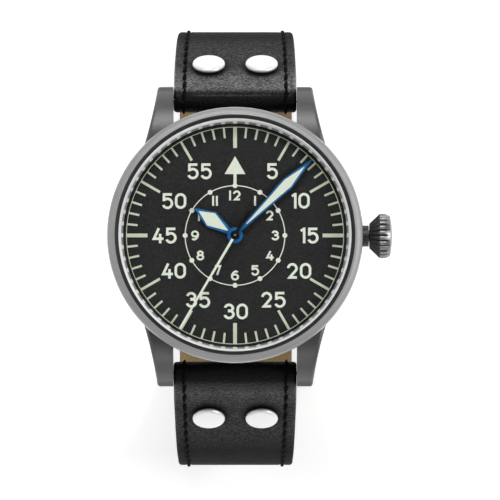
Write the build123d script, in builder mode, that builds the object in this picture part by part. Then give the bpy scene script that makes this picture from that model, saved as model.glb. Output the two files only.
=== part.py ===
from build123d import *
from math import cos, pi, radians, sin, sqrt
import os

os.makedirs("parts", exist_ok=True)

# A pilot watch with a round steel case, dial up, its leather strap buckled into a closed loop
# that stands on the front bar of the buckle and on the keepers.
# Millimetres. Origin: centre of the case back's outer face, on the hand axis.
# +Z out of the dial, +Y to 12 o'clock, +X to 3 o'clock and the crown.

# Fits
running_gap = 0.05
press_gap = 0.02
face_gap = 0.1
soft_gap = 0.3
cut_overrun = 1.0

# Case back
back_radius = 18.4
back_thickness = 1.2
back_bevel = 0.4
thread_radius = 17.75
thread_wall = 1.1
thread_height = 1.7
notch_count = 6
notch_width = 3.0
notch_depth = 1.3
notch_height = 0.6
back_gasket_width = 0.45
back_gasket_thickness = 0.3

# Mid case
case_radius = 20.6
case_foot_radius = 19.9
case_foot_height = 2.2
case_lip_height = 1.2
cavity_radius = 18.4
flange_seat_radius = 19.1

# Bezel
bezel_radius = 21.0
bezel_height = 2.5
bezel_wall_height = 1.3
bezel_land_radius = 19.7
bezel_bore_radius = 19.12
bezel_inner_bevel_height = 0.6
bezel_crown_rise = 0.35

# Crystal and its gasket
gasket_wall = 0.17
gasket_foot_width = 0.4
gasket_foot_height = 0.2
gasket_wall_height = 1.2
crystal_edge_height = 1.5
crystal_bevel = 0.15
crystal_dome_rise = 0.8
crystal_under_rise = 0.65
crystal_under_radius = 17.9

# Flange ring round the dial
flange_inner_radius = 18.2
flange_top_radius = 18.72
flange_straight_height = 0.6
flange_height = 1.7

# Dial
dial_radius = 18.3
dial_thickness = 0.4
dial_hole_radius = 1.1

# Dial markings
mark_thickness = 0.06
track_radius = 17.83
track_line_width = 0.11
minute_mark_length = 1.75
minute_mark_width = 0.34
five_mark_length = 3.6
five_mark_width = 0.42
quarter_mark_length = 3.45
quarter_mark_width = 0.62
triangle_base_radius = 10.09
triangle_height = 2.94
triangle_width = 3.43
triangle_stem_width = 0.5
hour_circle_radius = 8.19
hour_circle_width = 0.16
hour_dot_radius = 0.4

# Figures on the dial
minute_figure_ring = 12.2
minute_figure_height = 2.58
minute_figure_width = 1.88
minute_figure_stroke = 0.42
minute_figure_gap = 0.28
hour_figure_ring = 6.58
hour_figure_height = 1.64
hour_figure_width = 1.33
hour_figure_stroke = 0.32
hour_figure_gap = 0.3

# Hands
hand_thickness = 0.18
hour_hand_rise = 0.6
hand_spacing = 0.45
hour_hand_reach = 8.07
hour_hand_width = 2.93
hour_hand_widest = 4.7
hour_hub_radius = 1.31
minute_hand_reach = 17.85
minute_hand_width = 2.08
minute_hand_widest = 12.2
minute_hub_radius = 1.2
hand_rim = 0.27
hand_root_width = 0.26
seconds_hand_reach = 17.75
seconds_hand_width = 0.43
seconds_hand_tip_width = 0.3
seconds_hub_radius = 0.74
seconds_tail_reach = 4.6
seconds_tail_width = 0.6
seconds_boss_height = 0.25
hour_hand_angle = 303.8
minute_hand_angle = 45.4
seconds_hand_angle = 210.6

# Motion work and centre arbors
hour_pipe_radius = 0.92
hour_wheel_radius = 1.98
hour_wheel_thickness = 0.2
cannon_radius = 0.6
cannon_leaf_radius = 0.85
minute_wheel_radius = 1.7
minute_wheel_thickness = 0.2
minute_stud_radius = 0.25
seconds_arbor_radius = 0.28
seconds_wheel_radius = 2.6
tooth_depth = 0.18
tooth_root_share = 0.3
tooth_tip_share = 0.15
cannon_leaves = 12
minute_wheel_teeth = 36
minute_pinion_leaves = 10
hour_wheel_teeth = 40
seconds_wheel_teeth = 60
plate_recess_floor = 0.55

# Movement
movement_radius = 12.8
movement_ring_height = 3.9
plate_thickness = 1.4
plate_below_dial = 0.2
bridge_thickness = 0.8
pillar_radius = 0.9
pillar_ring = 11.2
pillar_angles = (-50.0, 60.0, 178.0)
bridge_screw_radius = 0.75
bridge_screw_height = 0.25
barrel_x = -5.4
barrel_y = 5.6
barrel_radius = 4.3
barrel_height = 1.1
barrel_teeth = 72
barrel_arbor_radius = 0.5
ratchet_radius = 3.4
ratchet_thickness = 0.25
ratchet_teeth = 54
balance_x = -5.2
balance_y = -6.4
balance_radius = 3.8
balance_rim_width = 0.5
balance_rim_height = 0.35
balance_arm_width = 0.5
balance_staff_radius = 0.2
balance_foot_x = -1.6
balance_foot_y = -11.2
balance_bridge_width = 2.0
escape_x = 1.7
escape_y = -6.5
escape_radius = 1.6
escape_thickness = 0.15
escape_teeth = 20
fork_x = -0.7
fork_y = -7.0
fork_thickness = 0.15
fork_arm_width = 0.35
fork_pallet_reach = 0.8
rotor_radius = 11.0
rotor_web_thickness = 0.3
rotor_rim_width = 1.7
rotor_rim_height = 0.7
rotor_hub_radius = 2.6
bearing_radius = 1.3
bearing_head_radius = 1.8
clamp_width = 3.0
clamp_length = 3.4
clamp_thickness = 0.3
clamp_inner_radius = 11.5
clamp_screw_radius = 0.9
clamp_screw_height = 0.4
clamp_shank_radius = 0.45

# Crown and stem
stem_rise = 2.0
stem_radius = 0.45
stem_square = 0.7
stem_inner_reach = 7.2
square_start = 7.9
square_end = 12.3
clutch_start = 8.6
clutch_length = 2.0
clutch_radius = 0.9
clutch_teeth = 12
tube_radius = 1.75
tube_seat_radius = 1.4
tube_bore_radius = 0.98
tube_inner_reach = 18.7
tube_outer_reach = 22.0
crown_neck_radius = 2.04
crown_widest_radius = 3.69
crown_shoulder_radius = 3.33
crown_shoulder_bulge = 0.1
crown_cone_length = 1.7
crown_barrel_length = 1.7
crown_dome_height = 0.39
crown_flutes = 24
crown_flute_depth = 0.42
crown_post_length = 2.6
crown_gasket_width = 0.45
crown_gasket_depth = 0.25
crown_stem_depth = 2.4

# Lugs and spring bars
lug_inner = 10.2
lug_tip = 24.7
lug_tip_half_width = 12.75
lug_root_half_width = 15.1
lug_bend_half_width = 13.5
lug_root_y = 14.2
lug_bend_y = 20.3
lug_top_height = 8.1
lug_shoulder_height = 7.0
lug_facet = 0.72
lug_tip_top = 3.9
lug_bottom = -0.6
lug_bevel = 0.5
bar_y = 22.6
bar_z = 1.5
bar_radius = 0.75
bar_end_gap = 0.4
bar_bore_radius = 0.45
bar_bore_depth = 3.7
tip_radius = 0.36
tip_head_radius = 0.4
tip_head_length = 0.8
tip_reach_in_lug = 1.0
tip_hole_depth = 1.25
tip_inner_reach = 2.4

# Strap
strap_end_width = 19.4
taper_start_drop = 2.0
taper_end_drop = 26.0
roll_radius = 2.0
leather_thickness = 1.5
lining_thickness = 1.0
tail_leather_thickness = 1.4
tail_lining_thickness = 0.9
strap_layer_gap = 0.2
strap_exit_angle = 58.5
upper_straight = 9.5
lower_straight = 12.0
strap_side_radius = 47.0
strap_bend_radius = 18.4
tail_wrap_angle = 50.0
tail_point_length = 5.0
flap_length = 11.5
stitch_inset = 1.75
stitch_pitch = 3.1
stitch_length = 2.2
stitch_width = 0.45
stitch_height = 0.12
stitch_start = 1.0

# Rivets
rivet_head_radius = 2.7
rivet_head_height = 1.5
rivet_shank_radius = 0.9
rivet_cap_radius = 1.8
rivet_cap_height = 0.5
rivet_spacing = 8.8
upper_rivet_distance = 8.2
lower_rivet_distance = 9.85

# Buckle and keepers
buckle_bar_radius = 0.7
buckle_roll_radius = 1.25
buckle_eye_radius = 1.45
buckle_arm_width = 1.8
buckle_reach = 9.5
buckle_front_radius = 1.0
buckle_front_gap = 0.15
tongue_width = 2.0
tongue_thickness = 1.0
tongue_eye_radius = 1.25
tongue_overhang = 1.1
tongue_slot_gap = 0.2
tongue_hole_width = 2.8
tongue_hole_front = 2.9
tongue_hole_back = 1.4
tongue_slot_reach = 2.1
keeper_wall = 1.4
fixed_keeper_start = 3.2
fixed_keeper_width = 4.4
free_keeper_start = 12.6
free_keeper_width = 4.2

# Heights that follow from the stack, from the case back upwards
thread_top = back_thickness + thread_height
dial_bottom = thread_top + movement_ring_height
dial_top = dial_bottom + dial_thickness
case_top = dial_top + case_lip_height
bezel_top = case_top + bezel_height
flange_top = dial_top + flange_height
crystal_bottom = flange_top + gasket_foot_height
crystal_radius = bezel_bore_radius - gasket_wall
plate_top = dial_bottom - plate_below_dial
plate_bottom = plate_top - plate_thickness
recess_floor = plate_bottom + plate_recess_floor
bridge_bottom = thread_top
bridge_top = bridge_bottom + bridge_thickness
stem_height = thread_top + stem_rise
hour_hand_bottom = dial_top + hour_hand_rise
minute_hand_bottom = hour_hand_bottom + hand_spacing
seconds_hand_bottom = minute_hand_bottom + hand_spacing
crown_start = tube_outer_reach + face_gap
crown_widest = crown_start + crown_cone_length
crown_end = crown_widest + crown_barrel_length
crown_tip = crown_end + crown_dome_height

# Heights of the strap's layers in the flat of the buckle, from the strap's own route
exit_slope = radians(strap_exit_angle)
strap_start_y = bar_y + roll_radius * sin(exit_slope)
strap_start_z = bar_z + roll_radius * cos(exit_slope)
side_drop = strap_side_radius * cos(exit_slope)
upper_side_z = strap_start_z - upper_straight * sin(exit_slope) - side_drop
lower_side_z = strap_start_z - lower_straight * sin(exit_slope) - side_drop
upper_side_y = strap_start_y + upper_straight * cos(exit_slope) + strap_side_radius * (1 - sin(exit_slope))
lower_side_y = strap_start_y + lower_straight * cos(exit_slope) + strap_side_radius * (1 - sin(exit_slope))
strap_thickness = leather_thickness + lining_thickness
tail_thickness = tail_leather_thickness + tail_lining_thickness
upper_bottom = upper_side_z - strap_bend_radius
upper_inside = upper_bottom + strap_thickness
tail_bottom = upper_bottom - strap_layer_gap - tail_thickness
tail_bend_radius = lower_side_z - tail_bottom
bend_end_y = upper_side_y - strap_bend_radius
buckle_bar_z = upper_bottom + buckle_roll_radius
front_bar_z = tail_bottom - buckle_front_gap - buckle_front_radius
base_z = front_bar_z - buckle_front_radius
strap_width = 2 * (lug_inner - running_gap)
strap_half_end = strap_end_width / 2
buckle_inner = strap_half_end + soft_gap
buckle_outer = buckle_inner + buckle_arm_width

hand_axis = Axis.Z
stem_axis = Axis((0, 0, stem_height), (1, 0, 0))
stem_plane = Plane(origin=(0, 0, stem_height), x_dir=(1, 0, 0), z_dir=(0, -1, 0))


def save(name, piece):
    """Label a finished piece and write it under its own name."""
    piece.part.label = name
    export_step(piece.part, f"parts/{name}.step")


def turned(points, axis=hand_axis, plane=Plane.XZ):
    """A solid turned about an axis from the corners of half its section."""
    with BuildPart() as piece:
        with BuildSketch(plane):
            with BuildLine():
                Polyline(*points, close=True)
            make_face()
        revolve(axis=axis)
    return piece


def ring(inner_radius, outer_radius, bottom, top):
    """A plain ring on the hand axis."""
    return turned([(inner_radius, bottom), (outer_radius, bottom), (outer_radius, top), (inner_radius, top)])


def clock_plane(height, angle):
    """A level plane whose Y points to an angle counted clockwise from 12 o'clock."""
    turn = radians(angle)
    return Plane(origin=(0, 0, height), x_dir=(cos(turn), -sin(turn), 0), z_dir=(0, 0, 1))


def toothed_disc(centre, bottom, thickness, tip_radius, teeth, depth=tooth_depth):
    """A toothed wheel at a place in the movement, each tooth a small trapezium."""
    corners = []
    for tooth in range(teeth):
        for share, radius in ((-tooth_root_share, tip_radius - depth), (-tooth_tip_share, tip_radius),
                              (tooth_tip_share, tip_radius), (tooth_root_share, tip_radius - depth)):
            turn = 2 * pi * (tooth + share) / teeth
            corners.append((radius * cos(turn), radius * sin(turn)))
    with BuildPart() as wheel:
        with BuildSketch(Plane(origin=(centre[0], centre[1], bottom))):
            with BuildLine():
                Polyline(*corners, close=True)
            make_face()
        extrude(amount=thickness)
    return wheel.part


def disc(centre, bottom, top, radius):
    """A plain upright cylinder, to add or to cut away."""
    with BuildPart() as cylinder:
        with BuildSketch(Plane(origin=(centre[0], centre[1], bottom))):
            Circle(radius)
        extrude(amount=top - bottom)
    return cylinder.part


# Case back: a notched disc with the ring that carries its thread
with BuildPart() as case_back:
    add(disc((0, 0), 0, back_thickness, back_radius))
    chamfer(case_back.edges().group_by(hand_axis)[0], back_bevel)
    add(disc((0, 0), back_thickness, thread_top, thread_radius))
    add(disc((0, 0), back_thickness, thread_top, thread_radius - thread_wall), mode=Mode.SUBTRACT)
    with BuildSketch(Plane.XY):
        with PolarLocations(back_radius, notch_count):
            Rectangle(2 * notch_depth, notch_width)
    extrude(amount=notch_height, mode=Mode.SUBTRACT)
save("case_back", case_back)

thread_bore = thread_radius + running_gap
back_gasket_radius = thread_bore + back_gasket_width
back_gasket_top = back_thickness + back_gasket_thickness
save("case_back_gasket", ring(thread_bore, back_gasket_radius, back_thickness, back_gasket_top))

# One lug: the side view of its arch, cut to its plan and bevelled on the outer side
with BuildPart() as lug:
    with BuildSketch(Plane.YZ.offset(lug_inner)):
        with BuildLine():
            top = ThreePointArc((lug_root_y, lug_top_height), (lug_bend_y + lug_facet, lug_shoulder_height),
                                (lug_tip - lug_facet, lug_tip_top))
            Polyline(top @ 1, (lug_tip, lug_tip_top - lug_facet), (lug_tip, bar_z),
                     (lug_tip - 2 * lug_facet, lug_bottom), (lug_bend_y, lug_bottom + lug_facet),
                     (lug_root_y, back_thickness), top @ 0)
        make_face()
    extrude(amount=lug_root_half_width - lug_inner)
    with BuildSketch(Plane.XY.offset(lug_bottom - cut_overrun)):
        with BuildLine():
            flank = ThreePointArc((lug_root_half_width, lug_root_y), (lug_bend_half_width, lug_bend_y),
                                  (lug_tip_half_width, lug_tip))
            Polyline(flank @ 1, (lug_inner, lug_tip), (lug_inner, lug_root_y), flank @ 0)
        make_face()
    extrude(amount=lug_top_height - lug_bottom + 2 * cut_overrun, mode=Mode.INTERSECT)
    outer_top = [e for e in lug.edges()
                 if e.center().X > lug_tip_half_width - lug_bevel / 2
                 and e.center().Y > lug_root_y + lug_facet and e.center().Z > bar_z]
    fillet(outer_top, lug_bevel)

# Mid case: a turned ring with four lugs, bored for the movement, the dial and the crown tube
with BuildPart() as mid_case:
    add(turned([(0, back_thickness), (case_foot_radius, back_thickness),
                (case_radius, back_thickness + case_foot_height), (case_radius, case_top),
                (0, case_top)]).part)
    add(lug.part)
    mirror(lug.part, about=Plane.YZ)
    mirror(lug.part, about=Plane.XZ)
    mirror(mirror(lug.part, about=Plane.YZ, mode=Mode.PRIVATE), about=Plane.XZ)
    add(disc((0, 0), dial_top, case_top, flange_seat_radius), mode=Mode.SUBTRACT)
    add(disc((0, 0), thread_top, dial_top, cavity_radius), mode=Mode.SUBTRACT)
    add(disc((0, 0), back_thickness, thread_top, thread_bore), mode=Mode.SUBTRACT)
    add(disc((0, 0), back_thickness, back_gasket_top, back_gasket_radius), mode=Mode.SUBTRACT)
    with BuildSketch(Plane.YZ.offset(cavity_radius - cut_overrun)):
        with Locations((0, stem_height)):
            Circle(tube_seat_radius)
    extrude(amount=case_radius - cavity_radius + 2 * cut_overrun, mode=Mode.SUBTRACT)
    for side in (1, -1):
        with BuildSketch(Plane.YZ.offset(side * (lug_inner - cut_overrun))):
            with Locations((bar_y, bar_z), (-bar_y, bar_z)):
                Circle(tip_radius + running_gap)
        extrude(amount=side * (tip_hole_depth + cut_overrun), mode=Mode.SUBTRACT)
save("mid_case", mid_case)

# Bezel: a turned ring with a gently crowned top and a polished inner bevel
with BuildPart() as bezel:
    with BuildSketch(Plane.XZ):
        with BuildLine():
            crowned = ThreePointArc((bezel_radius, case_top + bezel_wall_height),
                                    ((bezel_radius + bezel_land_radius) / 2 + bezel_crown_rise / 2,
                                     bezel_top - (bezel_height - bezel_wall_height) / 2 + bezel_crown_rise),
                                    (bezel_land_radius, bezel_top))
            Polyline(crowned @ 1, (bezel_bore_radius, bezel_top - bezel_inner_bevel_height),
                     (bezel_bore_radius, case_top), (bezel_radius, case_top), crowned @ 0)
        make_face()
    revolve(axis=hand_axis)
save("bezel", bezel)

# Crystal gasket: an angle section under and round the crystal's edge
gasket_inner = bezel_bore_radius - gasket_foot_width
save("crystal_gasket", turned([
    (gasket_inner, flange_top), (bezel_bore_radius - press_gap, flange_top),
    (bezel_bore_radius - press_gap, crystal_bottom + gasket_wall_height),
    (crystal_radius, crystal_bottom + gasket_wall_height), (crystal_radius, crystal_bottom),
    (gasket_inner, crystal_bottom)]))

# Crystal: domed above and below
with BuildPart() as crystal:
    edge = crystal_radius - press_gap
    edge_top = crystal_bottom + crystal_edge_height
    with BuildSketch(Plane.XZ):
        with BuildLine():
            dome = ThreePointArc((-edge + crystal_bevel, edge_top), (0, edge_top + crystal_dome_rise),
                                 (edge - crystal_bevel, edge_top))
            Polyline(dome @ 1, (edge, edge_top - crystal_bevel), (edge, crystal_bottom),
                     (crystal_under_radius, crystal_bottom))
            under = ThreePointArc((crystal_under_radius, crystal_bottom),
                                  (0, crystal_bottom + crystal_under_rise),
                                  (-crystal_under_radius, crystal_bottom))
            Polyline(under @ 1, (-edge, crystal_bottom), (-edge, edge_top - crystal_bevel), dome @ 0)
        make_face()
        with Locations((-edge / 2, crystal_bottom)):
            Rectangle(edge, 4 * crystal_edge_height, mode=Mode.SUBTRACT)
    revolve(axis=hand_axis)
save("crystal", crystal)

# Flange ring: a polished wall from the dial up to the crystal
save("flange_ring", turned([
    (flange_inner_radius, dial_top), (flange_seat_radius - press_gap, dial_top),
    (flange_seat_radius - press_gap, flange_top), (flange_top_radius, flange_top),
    (flange_inner_radius, dial_top + flange_straight_height)]))

# Dial
save("dial", ring(dial_hole_radius, dial_radius, dial_bottom, dial_top))

# Strokes of the figures. Each stroke is a run of lines, of two points, and arcs, of three, given as
# shares of half the width and half the height of the figure's centre lines.
figure_shares = {
    "0": [[((-1, -0.27), (-1, 0.27)), ((-1, 0.27), (0, 1), (1, 0.27)), ((1, 0.27), (1, -0.27))],
          [((1, -0.27), (0, -1), (-1, -0.27))]],
    "1": [[((1, 1.194), (1, -1.194))], [((-1.38, 0.68), (0.86, 1.01))]],
    "2": [[((-0.95, 0.42), (0, 1), (0.85, 0.14)), ((0.85, 0.14), (-0.6, -1)), ((-0.6, -1), (1, -1))]],
    "3": [[((-0.88, 0.58), (0, 1), (0.86, 0.52)), ((0.86, 0.52), (0.55, 0.16), (-0.2, 0.08))],
          [((-0.2, 0.08), (0.72, -0.05), (1, -0.48)), ((1, -0.48), (0.05, -1), (-0.95, -0.55))]],
    "4": [[((0.25, 1.1), (-0.85, -0.5)), ((-0.85, -0.5), (1.3, -0.5))],
          [((0.55, 0.25), (0.55, -1.194))]],
    "5": [[((1, 1), (-0.78, 1)), ((-0.78, 1), (-0.82, -0.02))],
          [((-0.82, 0.06), (1, -0.3), (-0.95, -0.62))]],
    "6": [[((-1, -0.36), (-0.55, 0.66), (0.1, 1)), ((0.1, 1), (0.5, 0.97), (0.85, 0.78))],
          [((-1, -0.36), (0, 0.26), (1, -0.36))], [((1, -0.36), (0, -1), (-1, -0.36))]],
    "7": [[((-1, 1), (0.72, 1)), ((0.72, 1), (-0.3, -1.2))]],
    "8": [[((-0.82, 0.55), (0, 1), (0.82, 0.55))], [((0.82, 0.55), (0, 0.1), (-0.82, 0.55))],
          [((-1, -0.45), (0, 0.1), (1, -0.45))], [((1, -0.45), (0, -1), (-1, -0.45))]],
    "9": [[((1, 0.36), (0.55, -0.66), (-0.1, -1)), ((-0.1, -1), (-0.5, -0.97), (-0.85, -0.78))],
          [((1, 0.36), (0, -0.26), (-1, 0.36))], [((-1, 0.36), (0, 1), (1, 0.36))]],
    "bar": [[((0, 1.24), (0, -1.24))]],
}
narrow_figure_share = 0.47

# Places of the minute figures 5 to 55, as shares of their ring to the right and up
minute_figure_place_shares = [(0.5, 0.868), (0.881, 0.468), (1.0, 0.0), (0.861, -0.477), (0.515, -0.865),
                              (0.008, -1.023), (-0.5, -0.867), (-0.826, -0.475), (-0.952, 0.0),
                              (-0.821, 0.464), (-0.479, 0.866)]

# Hour figures that stand off their even place, as shares of their ring to the right and up
hour_figure_shift_shares = {7: (0.076, 0.0), 10: (0.09, -0.015)}


def upright_number(number, centre, height, width, stroke, gap, plain_one):
    """A number drawn upright about a centre, one figure beside the next."""
    figures = ["bar" if plain_one and figure == "1" else figure for figure in str(number)]
    widths = {"1": width * narrow_figure_share, "bar": stroke}
    spans = [widths.get(figure, width) for figure in figures]
    left = centre[0] - (sum(spans) + gap * (len(spans) - 1)) / 2
    half_height = (height - stroke) / 2
    with BuildSketch() as drawn:
        for figure, span in zip(figures, spans):
            middle = left + span / 2
            left = left + span + gap
            half_width = (span - stroke) / 2
            for run in figure_shares[figure]:
                with BuildLine():
                    for points in run:
                        corners = [(middle + x * half_width, centre[1] + y * half_height) for x, y in points]
                        if len(corners) == 2:
                            Line(*corners)
                        else:
                            ThreePointArc(*corners)
                trace(line_width=stroke)
    return drawn.sketch


def minute_mark(minute):
    """Length and width of the mark at a minute."""
    if minute % 15 == 0:
        return quarter_mark_length, quarter_mark_width
    if minute % 5 == 0:
        return five_mark_length, five_mark_width
    return minute_mark_length, minute_mark_width


def on_dial(radius, angle):
    """A point on the dial at an angle counted clockwise from 12 o'clock."""
    return radius * sin(radians(angle)), radius * cos(radians(angle))


# Dial markings: minute track, triangle, hour circle with dots, and both rings of figures
with BuildPart() as dial_markings:
    with BuildSketch(Plane.XY.offset(dial_top)):
        Circle(track_radius + track_line_width / 2)
        Circle(track_radius - track_line_width / 2, mode=Mode.SUBTRACT)
        for minute in range(60):
            length, width = minute_mark(minute)
            x, y = on_dial(track_radius - length / 2, 6 * minute)
            with Locations(Location((x, y, 0), (0, 0, -6 * minute))):
                Rectangle(width, length)
        with BuildLine():
            Polyline((0, triangle_base_radius + triangle_height),
                     (triangle_width / 2, triangle_base_radius), (-triangle_width / 2, triangle_base_radius),
                     close=True)
        make_face()
        with Locations((0, (triangle_base_radius + hour_circle_radius) / 2)):
            Rectangle(triangle_stem_width, triangle_base_radius - hour_circle_radius)
    with BuildSketch(Plane.XY.offset(dial_top)):
        Circle(hour_circle_radius + hour_circle_width / 2)
        Circle(hour_circle_radius - hour_circle_width / 2, mode=Mode.SUBTRACT)
        with PolarLocations(hour_circle_radius, 12):
            Circle(hour_dot_radius)
    with BuildSketch(Plane.XY.offset(dial_top)):
        for hour in range(1, 13):
            x, y = on_dial(hour_figure_ring, 30 * hour)
            right, up = hour_figure_shift_shares.get(hour, (0, 0))
            add(upright_number(hour, (x + hour_figure_ring * right, y + hour_figure_ring * up),
                               hour_figure_height, hour_figure_width, hour_figure_stroke,
                               hour_figure_gap, True))
        for five, (right, up) in enumerate(minute_figure_place_shares, 1):
            add(upright_number(5 * five, (minute_figure_ring * right, minute_figure_ring * up),
                               minute_figure_height, minute_figure_width, minute_figure_stroke,
                               minute_figure_gap, False))
    extrude(amount=mark_thickness)
save("dial_markings", dial_markings)


def blade(points, plane):
    """A pointed, mirror-alike outline along +Y of a plane, from (half width, radius) points."""
    with BuildSketch(plane) as outline:
        with BuildLine():
            Polyline(*points, *[(-half, radius) for half, radius in reversed(points) if half > 0], close=True)
        make_face()
    return outline.sketch


def lume_window(reach, widest, width, start):
    """Corners of the luminous window inside a blade's rim."""
    half = width / 2 - hand_rim
    tip = reach - hand_rim * (reach - widest) / (width / 2) - hand_rim
    return [(0, tip), (half, widest), (hand_root_width / 4, start)]


def pointed_hand(bottom, angle, reach, widest, width, hub_radius, bore, lume_start):
    """The blued frame of a hand with its hub, and the luminous filling of its window."""
    plane = clock_plane(bottom, angle)
    window = lume_window(reach, widest, width, lume_start)
    with BuildPart() as frame:
        with BuildSketch(plane):
            add(blade([(0, reach), (width / 2, widest), (hand_root_width / 2, 0)], Plane.XY))
            Circle(hub_radius)
            add(blade(window, Plane.XY), mode=Mode.SUBTRACT)
            Circle(bore, mode=Mode.SUBTRACT)
        extrude(amount=hand_thickness)
    with BuildPart() as lume:
        with BuildSketch(plane):
            add(blade(window, Plane.XY))
        extrude(amount=hand_thickness)
    return frame, lume


# Hands
hour_frame, hour_lume = pointed_hand(
    hour_hand_bottom, hour_hand_angle, hour_hand_reach, hour_hand_widest, hour_hand_width,
    hour_hub_radius, hour_pipe_radius + press_gap, hour_hub_radius + hand_rim / 2)
save("hour_hand", hour_frame)
save("hour_hand_lume", hour_lume)
minute_frame, minute_lume = pointed_hand(
    minute_hand_bottom, minute_hand_angle, minute_hand_reach, minute_hand_widest, minute_hand_width,
    minute_hub_radius, cannon_radius + press_gap, 2 * hour_hub_radius)
save("minute_hand", minute_frame)
save("minute_hand_lume", minute_lume)

with BuildPart() as seconds_hand:
    with BuildSketch(clock_plane(seconds_hand_bottom, seconds_hand_angle)):
        add(blade([(seconds_hand_tip_width / 2, seconds_hand_reach), (seconds_hand_width / 2, 0),
                   (seconds_tail_width / 2, -seconds_tail_reach)], Plane.XY))
        Circle(seconds_hub_radius)
    extrude(amount=hand_thickness)
    add(disc((0, 0), seconds_hand_bottom - seconds_boss_height, seconds_hand_bottom, cannon_radius))
    add(disc((0, 0), seconds_hand_bottom - seconds_boss_height - cut_overrun,
             seconds_hand_bottom + hand_thickness / 2, seconds_arbor_radius + press_gap), mode=Mode.SUBTRACT)
save("seconds_hand", seconds_hand)


# Motion work: cannon pinion, minute wheel on its stud and hour wheel, under the dial
cannon_leaf_top = recess_floor + face_gap + minute_wheel_thickness
hour_wheel_bottom = cannon_leaf_top + face_gap
minute_wheel_distance = cannon_leaf_radius + minute_wheel_radius + running_gap
minute_wheel_centre = (0, minute_wheel_distance)
minute_pinion_radius = minute_wheel_distance - hour_wheel_radius - running_gap
with BuildPart() as cannon_pinion:
    add(toothed_disc((0, 0), recess_floor + face_gap, minute_wheel_thickness, cannon_leaf_radius,
                     cannon_leaves))
    add(disc((0, 0), recess_floor + face_gap, minute_hand_bottom + hand_thickness, cannon_radius))
    add(disc((0, 0), recess_floor, minute_hand_bottom + 2 * hand_thickness,
             seconds_arbor_radius + running_gap), mode=Mode.SUBTRACT)
save("cannon_pinion", cannon_pinion)

with BuildPart() as minute_wheel:
    add(toothed_disc(minute_wheel_centre, recess_floor + face_gap, minute_wheel_thickness,
                     minute_wheel_radius, minute_wheel_teeth))
    add(toothed_disc(minute_wheel_centre, cannon_leaf_top, face_gap + hour_wheel_thickness,
                     minute_pinion_radius, minute_pinion_leaves, tooth_depth / 2))
    add(disc(minute_wheel_centre, recess_floor, hour_wheel_bottom + cut_overrun,
             minute_stud_radius + running_gap), mode=Mode.SUBTRACT)
save("minute_wheel", minute_wheel)

with BuildPart() as hour_wheel:
    add(toothed_disc((0, 0), hour_wheel_bottom, hour_wheel_thickness, hour_wheel_radius,
                     hour_wheel_teeth, tooth_depth / 2))
    add(disc((0, 0), hour_wheel_bottom, hour_hand_bottom + hand_thickness, hour_pipe_radius))
    add(disc((0, 0), hour_wheel_bottom - face_gap, hour_hand_bottom + 2 * hand_thickness,
             cannon_radius + running_gap), mode=Mode.SUBTRACT)
save("hour_wheel", hour_wheel)

# Seconds pinion: the centre arbor with its wheel under the main plate
seconds_wheel_bottom = bridge_top + face_gap
with BuildPart() as seconds_pinion:
    add(toothed_disc((0, 0), seconds_wheel_bottom, escape_thickness, seconds_wheel_radius,
                     seconds_wheel_teeth))
    add(disc((0, 0), bridge_bottom, seconds_hand_bottom + hand_thickness / 2, seconds_arbor_radius))
save("seconds_pinion", seconds_pinion)

# Main plate: a disc with the recess of the motion work, the stem's channel and its pivots
with BuildPart() as main_plate:
    add(disc((0, 0), plate_bottom, plate_top, movement_radius))
    add(disc((0, 0), recess_floor, plate_top, minute_wheel_distance + minute_wheel_radius + soft_gap),
        mode=Mode.SUBTRACT)
    add(disc(minute_wheel_centre, recess_floor, hour_wheel_bottom + hour_wheel_thickness, minute_stud_radius))
    add(disc((0, 0), plate_bottom - face_gap, recess_floor + face_gap, seconds_arbor_radius + running_gap),
        mode=Mode.SUBTRACT)
    with BuildSketch(Plane.XY.offset(plate_bottom)):
        with Locations(((stem_inner_reach - face_gap + movement_radius) / 2, 0)):
            Rectangle(movement_radius - stem_inner_reach + 2 * face_gap, 2 * (clutch_radius + soft_gap))
    extrude(amount=stem_height + clutch_radius + face_gap - plate_bottom, mode=Mode.SUBTRACT)
save("main_plate", main_plate)

# Train bridge: a plate on three pillars, cut away over the balance
barrel_centre = (barrel_x, barrel_y)
balance_centre = (balance_x, balance_y)
escape_centre = (escape_x, escape_y)
fork_centre = (fork_x, fork_y)
pillars = [(pillar_ring * cos(radians(angle)), pillar_ring * sin(radians(angle))) for angle in pillar_angles]
with BuildPart() as train_bridge:
    add(disc((0, 0), bridge_bottom, bridge_top, pillar_ring + pillar_radius + face_gap))
    with BuildSketch(Plane.XY.offset(bridge_bottom)):
        with Locations((0, balance_y + balance_radius)):
            Rectangle(movement_radius, movement_radius, align=(Align.MAX, Align.MAX))
    extrude(amount=bridge_thickness, mode=Mode.SUBTRACT)
    for pillar in pillars:
        add(disc(pillar, bridge_top, plate_bottom, pillar_radius))
    for centre, radius in (((0, 0), seconds_arbor_radius), (barrel_centre, barrel_arbor_radius),
                           (escape_centre, balance_staff_radius)):
        add(disc(centre, bridge_bottom - face_gap, bridge_top + face_gap, radius + running_gap),
            mode=Mode.SUBTRACT)
save("train_bridge", train_bridge)

with BuildPart() as bridge_screws:
    for pillar in pillars:
        add(disc(pillar, bridge_bottom - bridge_screw_height, bridge_bottom, bridge_screw_radius))
save("bridge_screws", bridge_screws)

# Mainspring barrel on its arbor, and the ratchet wheel that winds it
barrel_bottom = bridge_top + face_gap
with BuildPart() as mainspring_barrel:
    add(toothed_disc(barrel_centre, barrel_bottom, barrel_height / 3, barrel_radius, barrel_teeth))
    add(disc(barrel_centre, barrel_bottom, barrel_bottom + barrel_height, barrel_radius - 2 * tooth_depth))
    add(disc(barrel_centre, bridge_bottom - 2 * face_gap - ratchet_thickness, barrel_bottom,
             barrel_arbor_radius))
save("mainspring_barrel", mainspring_barrel)

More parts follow.
